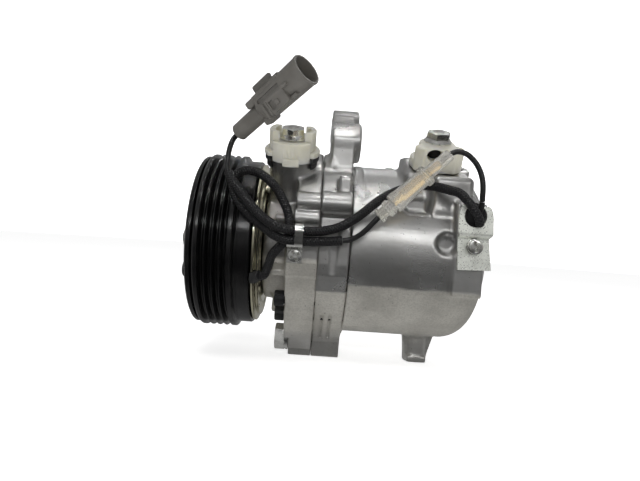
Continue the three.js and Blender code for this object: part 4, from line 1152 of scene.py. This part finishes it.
def make_front_cap():
    t = FRONT_PORT_TOP
    cap = spun(
        "front_port_cap_moulded",
        [
            (4.6, t + 1.2), (4.6, t + 8.2), (7.4, t + 8.2), (8.2, t + 8.8), (11.6, t + 8.8),
            (11.7, t + 8.6), (11.7, t + 1.2),
        ],
        96,
    )
    tabs = shared(
        spun(
            "tabs",
            [
                (8.9, t + 8.5), (8.9, t + 13.2), (9.3, t + 13.6), (11.2, t + 13.6), (11.7, t + 13),
                (11.7, t + 8.5),
            ],
            96,
        ),
        block("sides", (-20, -6.5, t), (20, 6.5, t + 20)),
    )
    ears = shared(
        spun(
            "ears",
            [(11, t + 1.2), (11, t + 4.4), (12.2, t + 3.7), (13.7, t + 3.5), (14, t + 3.1), (14, t + 1.2)],
            96,
        ),
        block("sides", (-20, -8.4, t), (20, 8.4, t + 20)),
    )
    walls = shared(
        spun(
            "walls",
            [
                (11.2, t + 1.2), (11.2, t + 8.8), (12.6, t + 8.8), (13, t + 8.3), (13, t - 0.9),
                (12, t - 0.9), (12, t + 1.2),
            ],
            96,
        ),
        block("ends", (-9.2, -20, t - 2), (9.2, 20, t + 20)),
    )
    latch = shared(
        spun(
            "latch",
            [
                (12.2, t - 2.3), (12.2, t + 1.7), (13.4, t + 1.7), (13.8, t + 1.2), (13.8, t - 1.6),
                (13.3, t - 2.3),
            ],
            96,
        ),
        block("front", (-4, -20, t - 5), (4, 0, t + 5)),
    )
    join(cap, tabs, ears, walls, latch)
    return place(rounded(cap, 0.45, 3, 40), at_port(FRONT_PORT_X))


def make_front_seal():
    t = FRONT_PORT_TOP
    seal = spun(
        "front_port_seal_ring", [(4.6, t + 0.3), (4.6, t + 0.9), (11.9, t + 0.9), (11.9, t + 0.3)], 96
    )
    # The flat ring is the seal. The black rubber skirts joined to it at the port's two sides fill the shaded
    # gap between the port and the casting behind: a dark piece standing in for painted shadow.
    painted_shadow_skirts = shared(
        spun(
            "painted_shadow_skirts",
            [
                (11.7, t - 1.7), (11.7, t + 0.9), (13.5, t + 0.9), (13.7, t + 0.6), (13.7, t - 1.3),
                (13.3, t - 1.7),
            ],
            96,
        ),
        block("sides", (-20, -8.4, 0), (20, 5, 100)),
    )
    lower = shared(
        spun("lower", [(11.7, t - 5), (11.7, t - 1.5), (12.8, t - 1.5), (12.8, t - 4.7), (12.5, t - 5)], 96),
        block("sides", (-20, -8.4, 0), (20, 1, 100)),
    )
    join(painted_shadow_skirts, lower)
    cut(painted_shadow_skirts, block("middle", (-9.6, -20, 0), (9.6, 20, 100)))
    join(seal, painted_shadow_skirts)
    return place(rounded(seal, 0.15, 2, 40), at_port(FRONT_PORT_X))


def make_rear_cap():
    t = REAR_PORT_TOP
    cap = spun(
        "rear_port_cap_moulded",
        [
            (4.6, t + 5), (4.6, t + 12.9), (8.2, t + 12.9), (8.8, t + 12.5), (9.0, t + 11.5),
            (9.6, t + 5.4), (12.2, t + 5), (12.5, t + 4.6), (12.5, t + 0.5), (4.6, t + 0.5),
        ],
        96,
    )
    outline = [(-8, -12.5), (8, -12.5), (12, -9), (12, -6.5), (7, 0), (-7, 0), (-12, -6.5), (-12, -9)]
    front = rounded(polygon_prism("front", outline, t + 0.5, t + 12.6), 0.9, 3, 25)
    join(cap, front)
    # oval window with a bevelled edge, and the ways of the sleeve and the bolt
    oval = polygon_prism("window", [(3.9 * c, 3.0 * s) for c, s in circle(1, 40)], 2, 20)
    flare = polygon_prism("flare", [(4.4 * c, 3.5 * s) for c, s in circle(1, 40)], 11.9, 20)
    turn = Matrix.Translation((-2.8, 0, t + 9.2)) @ TOWARDS_MINUS_Y
    cut(cap, place(oval, turn), place(flare, turn))
    cut(
        cap,
        spun(
            "ways",
            [
                (0, t), (12.05, t), (12.05, t + 1.6), (6.2, t + 1.6), (6.2, t + 11.8), (4.6, t + 11.8),
                (4.6, t + 20), (0, t + 20),
            ],
            64,
        ),
    )
    return place(rounded(cap, 0.2, 2, 40), at_port(REAR_PORT_X))


def make_rear_seal():
    t = REAR_PORT_TOP
    profile = [
        (4.6, t + 0.3), (4.6, t + 11.2), (5.9, t + 11.2), (5.9, t + 1.3), (11.6, t + 1.3), (11.8, t + 1.1),
        (11.8, t + 0.5), (11.6, t + 0.3),
    ]
    return place(spun("rear_port_seal_ring", profile, 96), at_port(REAR_PORT_X))


NOTCH_RING, FLANGE_NOTCHES = 7.2, 12


def make_cap_bolt(name, x, seat, turn):
    """Height 0 is the seat of the wavy washer face."""
    bolt = hex_head(name, 6.2, 1.5, 4.9, 6.9, 0.8)
    join(bolt, rod("shank", (0, 0, -16.5), (0, 0, 0.5), 3.6, 40))
    notches = []
    for across, up in circle(NOTCH_RING, FLANGE_NOTCHES, turn=0.5):
        notches.append(rod("notch", (across, up, -0.8), (across, up, 1.1), 0.7, 16))
    cut(bolt, *notches)
    return place(bolt, at_port(x) @ Matrix.Translation((0, 0, seat)) @ Matrix.Rotation(turn, 4, "Z"))


finish_piece(make_front_cap(), "housing", PALE_PLASTIC, "pale_plastic", "front_port_cap")
finish_piece(make_front_seal(), "housing", RUBBER, "black_rubber", "front_port_seal")
finish_piece(
    make_cap_bolt("front_cap_bolt_flanged", FRONT_PORT_X, FRONT_PORT_TOP + CAP_SEAT, 0.55), "housing", ZINC,
    "zinc_plate", "front_cap_bolt",
)
finish_piece(make_rear_cap(), "housing", PALE_PLASTIC, "pale_plastic", "rear_port_cap")
finish_piece(make_rear_seal(), "housing", RUBBER, "black_rubber", "rear_port_seal")
finish_piece(
    make_cap_bolt("rear_cap_bolt_flanged", REAR_PORT_X, REAR_PORT_TOP + REAR_CAP_SEAT, 0.2), "housing",
    ZINC, "zinc_plate", "rear_cap_bolt",
)

# ---------------------------------------------------------------- lead clip and switch bracket


def sheet(name, line, thickness, x0, x1):
    """Bent sheet metal. The line is (y, z) points on one face; the thickness goes to the camera's side."""
    points = [Vector(p) for p, before in zip(line, [None, *line]) if p != before]
    normals = [Vector((a.y - b.y, b.x - a.x)).normalized() for a, b in zip(points, points[1:])]
    other = []
    for i, p in enumerate(points):
        near = normals[max(i - 1, 0) : i + 1]
        normal = sum(near, Vector((0, 0))).normalized()
        other.append(p + normal * thickness / normal.dot(near[0]))
    outline = [tuple(p) for p in points] + [tuple(p) for p in other[::-1]]
    return polygon_prism(name, outline, x0, x1, ALONG_X)


def bend(start, end, centre, radius, steps=6):
    """Points of an arc round a centre, angles in degrees."""
    angles = [math.radians(start + (end - start) * i / steps) for i in range(steps + 1)]
    return [(centre[0] + radius * math.cos(a), centre[1] + radius * math.sin(a)) for a in angles]


def make_clip():
    """Foot screwed to the pad, and a strap that goes out, up over both sleeves and back."""
    foot = -46.1
    line = [
        (foot, -8), (foot, -1.7), *bend(0, 90, (foot - 1.5, -1.7), 1.5, 4), (-52.2, -0.2),
        *bend(270, 195, (-52.4, 2.2), 2.4, 6), *bend(195, 90, (-53.3, 6.9), 2.4, 8), (-47.7, 9.3),
    ]
    clip = sheet("lead_clip_bent", line, 0.8, 42.4, 49.6)
    narrow = block("narrow", (42.3, -60, 0.4), (45.8, -40, 14))
    hole = rod("hole", (CLIP_SCREW[0], -50, CLIP_SCREW[1]), (CLIP_SCREW[0], -44, CLIP_SCREW[1]), 2.0, 32)
    cut(clip, narrow, hole)
    return rounded(clip, 0.18, 2, 50)


def make_bracket():
    """Screwed foot, a short slope, and a plate in front of the switch, open at the top round the leads."""
    line = [
        (-46.5, -8), *bend(0, 78, (-48.8, 8.4), 2.3), *bend(258, 180, (-49.6, 11.5), 0.6, 4), (-50.2, 26),
    ]
    bracket = sheet("switch_bracket_bent", line, 1.5, 118, 140)
    x, z = SWITCH_PLACE
    outline = [
        (121.9, -6.0), (137.2, -5.5), (137.3, -5.0), (135.4, 9.4), (136.2, 11.2), (135.9, 15), (135.8, 18.5),
        (135.3, 21.2), (134.5, 23.0), (133.6, 23.9), (132.9, 24.0), (132.4, 23.7),
        *[
            (x + 5.2 * math.cos(a), z + 5.2 * math.sin(a)) for a in (
                math.radians(54 - 288 * i / 30) for i in range(31)
            )
        ],
        (122.7, 23.7), (122.0, 23.9), (121.2, 23.4), (120.4, 22.2), (120.1, 20.4), (120.1, 12), (120.9, 9.6),
    ]
    shape = polygon_prism("outline", outline, 40, 60, TOWARDS_MINUS_Y)
    boolean(bracket, "INTERSECT", shape)
    cut(
        bracket,
        rod(
            "hole", (BRACKET_SCREW[0], -60, BRACKET_SCREW[1]), (BRACKET_SCREW[0], -40, BRACKET_SCREW[1]),
            2.0, 32,
        ),
    )
    return rounded(bracket, 0.22, 2, 50)


def make_switch():
    x, z = SWITCH_PLACE
    body = spun(
        "thermal_switch_body",
        [
            (0, 46.5), (6.1, 46.5), (6.4, 46.8), (6.4, 48.4), (6.0, 48.8), (5.4, 48.8), (5.4, 49.5),
            (5.2, 49.7), (0, 49.7),
        ],
        64,
    )
    return place(body, Matrix.Translation((x, 0, z)) @ TOWARDS_MINUS_Y)


def make_switch_grommet():
    """Rubber plug set back in the notch, dished where the two leads go in."""
    x, z = SWITCH_PLACE
    plug = spun(
        "switch_grommet_moulded",
        [(0, 49.9), (4.9, 49.9), (4.9, 51.2), (4.6, 51.5), (4.1, 51.3), (3.6, 50.7), (0, 50.5)],
        64,
    )
    return place(plug, Matrix.Translation((x, 0, z)) @ TOWARDS_MINUS_Y)


def lead_end(name, route, diameter):
    return tube(name, smooth_route(route, 0.5), diameter)


finish_piece(make_clip(), "housing", ZINC, "zinc_plate", "lead_clip")
finish_piece(make_bracket(), "housing", GALVANISED, "zinc_plate", "switch_bracket")
finish_piece(make_switch(), "housing", BLACK_PLASTIC, "black_plastic", "thermal_switch")
finish_piece(make_switch_grommet(), "housing", RUBBER, "black_rubber", "switch_grommet")
feed_route = [
    *FEED_SLEEVE[-2:], (124.5, -54.4, 23.2), (126.6, -54.7, 20.2), (128.3, -54.1, 17.4),
    (129.3, -52.5, 15.4),
]
feed_end = lead_end("feed_lead_boot", feed_route, 4.1)
finish_piece(feed_end, "housing", BRAID, "black_rubber")
switch_end = lead_end(
    "switch_lead_boot",
    [(129.5, -52.9, 25.6), (129.5, -52.4, 23.8), (129.4, -51.8, 22.2), (129.2, -50.9, 21)], 2.5,
)
finish_piece(switch_end, "housing", WIRE_SKIN, "black_rubber")

# ---------------------------------------------------------------- connectors

CONNECTOR_TAIL, CONNECTOR_MOUTH = Vector((15.6, -42, 51.3)), Vector((47.1, -68.5, 74))
BULLET_START, BULLET_END = Vector((83, -54, 15.6)), Vector((113, -54, 45.9))


def along(start, end, side):
    """Stands an upright piece on the line from start towards end, with its x towards a side."""
    heading = (end - start).normalized()
    x = (side - heading * side.dot(heading)).normalized()
    return Matrix.Translation(start) @ Matrix((x, heading.cross(x), heading)).transposed().to_4x4()


def slab(name, x, y, z, width=0.35):
    """A rounded block given by its extents."""
    return rounded(block(name, (x[0], y[0], z[0]), (x[1], y[1], z[1])), width, 2)


# In connector coordinates z runs from the wire's end to the mouth and x points at the latch.
DRAWN_LENGTH = 44.4
STRETCH = (CONNECTOR_MOUTH - CONNECTOR_TAIL).length / DRAWN_LENGTH
ON_CONNECTOR = along(
    CONNECTOR_TAIL, CONNECTOR_MOUTH, Vector((-1, 0, 1))
) @ Matrix.Diagonal((1, 1, STRETCH, 1))


def make_connector_housing():
    length = DRAWN_LENGTH
    housing = spun(
        "connector_housing_moulded",
        [(1.6, 0.4), (2.0, 0), (3.6, 0), (4.1, 0.5), (4.2, 24), (1.6, 22)],
        64,
    )
    barrel = spun(
        "barrel",
        [
            (0, 17.2), (5.0, 17.2), (6.3, 18.4), (6.8, 19.8), (6.9, 30), (
                7.05, length - 1.6
            ), (7.2, length - 1.3),
            (7.25, length - 0.4), (7.0, length), (6.35, length), (6.1, length - 0.4), (6.1, 35), (0, 34.4),
        ],
        96,
        40,
        Matrix.Translation((0.75, 0, 0)),
    )
    rail = slab("rail", (4.2, 6.9), (-2.6, 5.0), (18, 33.6), 0.5)
    raised = slab("raised", (5.4, 7.9), (-1.2, 3.0), (27.2, 33.8), 0.4)
    rear = slab("rear", (3.2, 6.7), (-1.2, 5.4), (13.7, 19.2), 0.9)
    cover = slab("cover", (-5.9, 1.2), (2.6, 7.9), (22.4, 34.2), 0.7)
    hoop = slab("hoop", (-6.4, 0.8), (3.2, 8.7), (21.4, 22.9), 0.6)
    inner_hoop = slab("inner_hoop", (-6.1, 0.6), (3.2, 8.4), (23.6, 24.5), 0.35)
    knob = slab("knob", (-3.9, -1.8), (6.8, 8.6), (28.0, 30.2), 0.35)
    tabs = [
        slab("tab", (-0.2, 1.3), (4.6, 8.2), (33.4, 37.0), 0.55),
        slab("tab", (-6.0, -4.6), (3.2, 6.4), (34.0, 37.6), 0.55),
    ]
    under = slab("under", (-6.8, -3.2), (-3.0, 3.0), (15.4, 21.6), 0.9)
    join(housing, barrel, rail, raised, rear, cover, hoop, inner_hoop, knob, *tabs, under)
    slot = slab("slot", (1.9, 3.6), (5.6, 9), (20.2, 33.0), 0.3)
    recess = slab("recess", (-4.6, -0.6), (7.0, 9), (25.2, 27.6), 0.25)
    cut(housing, slot, recess, rod("way", (0, 0, -1), (0, 0, 20), 1.6, 32))
    return place(housing, ON_CONNECTOR)


def make_connector_lock():
    """A flat fin that stands on the latch's rail."""
    outline = [(7.2, 18.8), (10.4, 18.9), (10.9, 19.5), (10.9, 29.1), (10.4, 29.6), (7.4, 29.0)]
    fin = polygon_prism("connector_lock_moulded", outline, -1.0, 1.0)
    # stands the outline in the plane of x and z
    place(fin, Matrix(((1, 0, 0, 0), (0, 0, -1, 0), (0, 1, 0, 0), (0, 0, 0, 1))))
    return place(rounded(fin, 0.35, 2), ON_CONNECTOR)


connector_housing = make_connector_housing()
finish_piece(connector_housing, "housing", GREY_PLASTIC, "grey_plastic", "connector_housing")
connector_lock = make_connector_lock()
finish_piece(connector_lock, "housing", GREY_PLASTIC, "grey_plastic", "connector_lock")
terminal = spun(
    "connector_terminal_pin", [(0, 13.4), (1.3, 13.4), (1.3, 39.6), (0.9, 40.6), (0.4, 41), (0, 41)], 32
)
finish_piece(place(terminal, ON_CONNECTOR), "housing", BRASS, "brass", "connector_terminal")


def on_bullet(piece):
    return place(piece, along(BULLET_START, BULLET_END, Vector((0, -1, 0))))


def make_bullet():
    socket = spun(
        "bullet_socket_sleeve_clear",
        [
            (1.75, 0), (3.0, 0), (3.4, 0.3), (
                3.45, 1.6
            ), (3.2, 1.9), (2.65, 2.1), (2.65, 4.0), (3.2, 4.4), (3.9, 4.8),
            (3.95, 7.0), (3.5, 7.4), (3.2, 7.6), (3.2, 8.5), (4.5, 8.6), (4.7, 9.0), (
                4.65, 11.8
            ), (4.45, 12.1),
            (4.1, 18.0), (
                3.95, 25.6
            ), (4.1, 26.3), (4.9, 26.5), (5.0, 26.8), (4.95, 28.1), (2.75, 28.1), (2.75, 10.6),
            (1.75, 9.6),
        ],
        64,
    )
    plug = spun(
        "bullet_plug_sleeve_clear",
        [
            (2.1, 28.4), (4.7, 28.4), (4.8, 28.7), (4.5, 29.3), (3.2, 29.6), (
                2.95, 30.2
            ), (2.9, 35.8), (2.75, 36.3),
            (2.75, 42.2), (2.5, 42.6), (1.5, 42.6), (1.5, 36.9), (2.1, 36.2),
        ],
        64,
    )
    terminal = spun(
        "bullet_terminal_crimped",
        [
            (0, 8.9), (1.5, 8.9), (1.6, 9.4), (1.6, 12.5), (
                2.45, 13.8
            ), (2.55, 14.2), (2.55, 25.4), (2.3, 25.9),
            (1.7, 26.4), (1.7, 32.6), (1.95, 33.0), (1.95, 35.0), (1.7, 35.3), (1.45, 36.6), (0, 36.6),
        ],
        48,
    )
    seam = block("seam", (2.0, -0.12, 13.4), (3, 0.12, 25.6))
    cut(terminal, seam)
    ends = [
        spun("bullet_wire_end", [(0, 0.2), (1.25, 0.2), (1.25, 8.7), (0, 8.7)], 32),
        spun("switch_wire_end", [(0, 36.8), (1.25, 36.8), (1.25, 42.9), (0, 42.9)], 32),
    ]
    return [on_bullet(piece) for piece in (socket, plug, terminal, *ends)]


socket_sleeve, plug_sleeve, bullet_terminal, socket_end, plug_end = make_bullet()
finish_piece(socket_sleeve, "housing", CLEAR_PLASTIC, "clear_plastic", "bullet_socket_sleeve")
finish_piece(plug_sleeve, "housing", CLEAR_PLASTIC, "clear_plastic", "bullet_plug_sleeve")
finish_piece(bullet_terminal, "housing", BRASS, "brass", "bullet_terminal")
finish_piece(socket_end, "housing", WIRE_SKIN, "black_rubber")
finish_piece(plug_end, "housing", WIRE_SKIN, "black_rubber")


# ---------------------------------------------------------------- floor and light


def make_studio():
    """A white floor and a white wall all round. Neither shows in the metal, which reflects the world."""
    floor = polygon_prism("floor", circle(3000, 96), -2, 0)
    floor.data.transform(Matrix.Scale(MM, 4) @ Matrix.Translation((0, 0, -0.2)))
    n = Nodes("floor")
    grain = n.noise(3, 2)
    floor.data.materials.append(
        n.done(
            Base_Color=n.mix(n.ramp(grain, 0.3, 0.7), (0.92, 0.92, 0.92), (0.95, 0.95, 0.95)),
            Roughness=0.8,
            Specular_IOR_Level=0.0,
            Emission_Color=(1, 1, 1, 1),
            Emission_Strength=0.70,
            Normal=n.bump(n.noise(400, 2), 0.00002),
        )
    )
    wall = spun("wall", [(2900, -50), (2900, 2900), (2910, 2900), (2910, -50)], 96)
    wall.data.transform(Matrix.Scale(MM, 4))
    n = Nodes("wall")
    wall.data.materials.append(
        n.done(
            Base_Color=(0.95, 0.95, 0.95, 1), Roughness=0.9, Emission_Color=(1, 1, 1, 1),
            Emission_Strength=1.1,
        )
    )
    wall.visible_diffuse = wall.visible_shadow = wall.visible_transmission = False
    for piece in (floor, wall):
        piece.visible_glossy = False


def soft_light(name, elevation, azimuth, distance, size, power):
    """A soft light that aims at the compressor. Angles in degrees; azimuth 0 is the camera's side."""
    e, a = math.radians(elevation), math.radians(azimuth)
    heading = Vector((math.sin(a) * math.cos(e), -math.cos(a) * math.cos(e), math.sin(e)))
    data = bpy.data.lights.new(name, "AREA")
    data.energy, data.shape = power, "RECTANGLE"
    data.size, data.size_y = size
    data.cycles.use_multiple_importance_sampling = False
    light = bpy.data.objects.new(name, data)
    bpy.context.scene.collection.objects.link(light)
    light.location = Vector((0, 0, 0.06)) + heading * distance
    light.rotation_mode = "QUATERNION"
    light.rotation_quaternion = heading.to_track_quat("Z", "Y")


def make_world():
    """Soft panels of different brightness, by height: dim low in front, brighter level and overhead."""
    world = bpy.data.worlds.new("studio")
    bpy.context.scene.world = world
    world.use_nodes = True
    tree = world.node_tree

    def node(kind):
        return tree.nodes.new(kind)

    split = node("ShaderNodeSeparateXYZ")
    tree.links.new(node("ShaderNodeTexCoord").outputs["Generated"], split.inputs[0])
    height = node("ShaderNodeMapRange")
    height.inputs["From Min"].default_value = -1
    tree.links.new(split.outputs[2], height.inputs["Value"])
    panels = []
    for stops in (FRONT_PANELS, BACK_PANELS):
        ramp = node("ShaderNodeValToRGB")
        ramp.color_ramp.interpolation = "EASE"
        points = ramp.color_ramp.elements
        for i, (elevation, strength) in enumerate(stops):
            where = (math.sin(math.radians(elevation)) + 1) / 2
            point = points[i] if i < 2 else points.new(where)
            point.position = where
        for point, (_, strength) in zip(sorted(points, key=lambda q: q.position), stops):
            point.color = (strength, strength, strength, 1)
        tree.links.new(height.outputs[0], ramp.inputs[0])
        panels.append(ramp.outputs[0])
    side = node("ShaderNodeMapRange")
    side.interpolation_type = "SMOOTHSTEP"
    side.inputs["From Min"].default_value = -0.25
    side.inputs["From Max"].default_value = 0.35
    tree.links.new(split.outputs[1], side.inputs["Value"])
    mix = node("ShaderNodeMix")
    mix.data_type = "RGBA"
    tree.links.new(side.outputs[0], mix.inputs["Factor"])
    tree.links.new(panels[0], mix.inputs[6])
    tree.links.new(panels[1], mix.inputs[7])
    tree.links.new(mix.outputs[2], tree.nodes["Background"].inputs["Color"])


# Elevation in degrees and brightness of the panels in front of the compressor and behind it.
FRONT_PANELS = [
    (
        -90, 0.28
    ), (-50, 0.08), (-30, 0.03), (-12, 0.08), (2, 0.24), (30, 0.20), (50, 0.19), (66, 0.38), (90, 0.32),
]
BACK_PANELS = [(-90, 0.30), (-40, 0.20), (0, 0.30), (40, 0.30), (90, 0.36)]

make_studio()
make_world()
soft_light("strip", 21, 0, 0.9, (1.2, 0.07), 2.0)
soft_light("front_high", 56, -10, 0.9, (0.5, 0.2), 1.1)
soft_light("top", 80, 0, 0.9, (0.7, 0.5), 1.2)
soft_light("back", 40, 150, 0.9, (0.5, 0.5), 1.0)

bpy.context.scene.view_settings.view_transform = "Standard"

# ---------------------------------------------------------------- sizes, and the end


def corners(box):
    return [list(box[0]), list(box[1])]
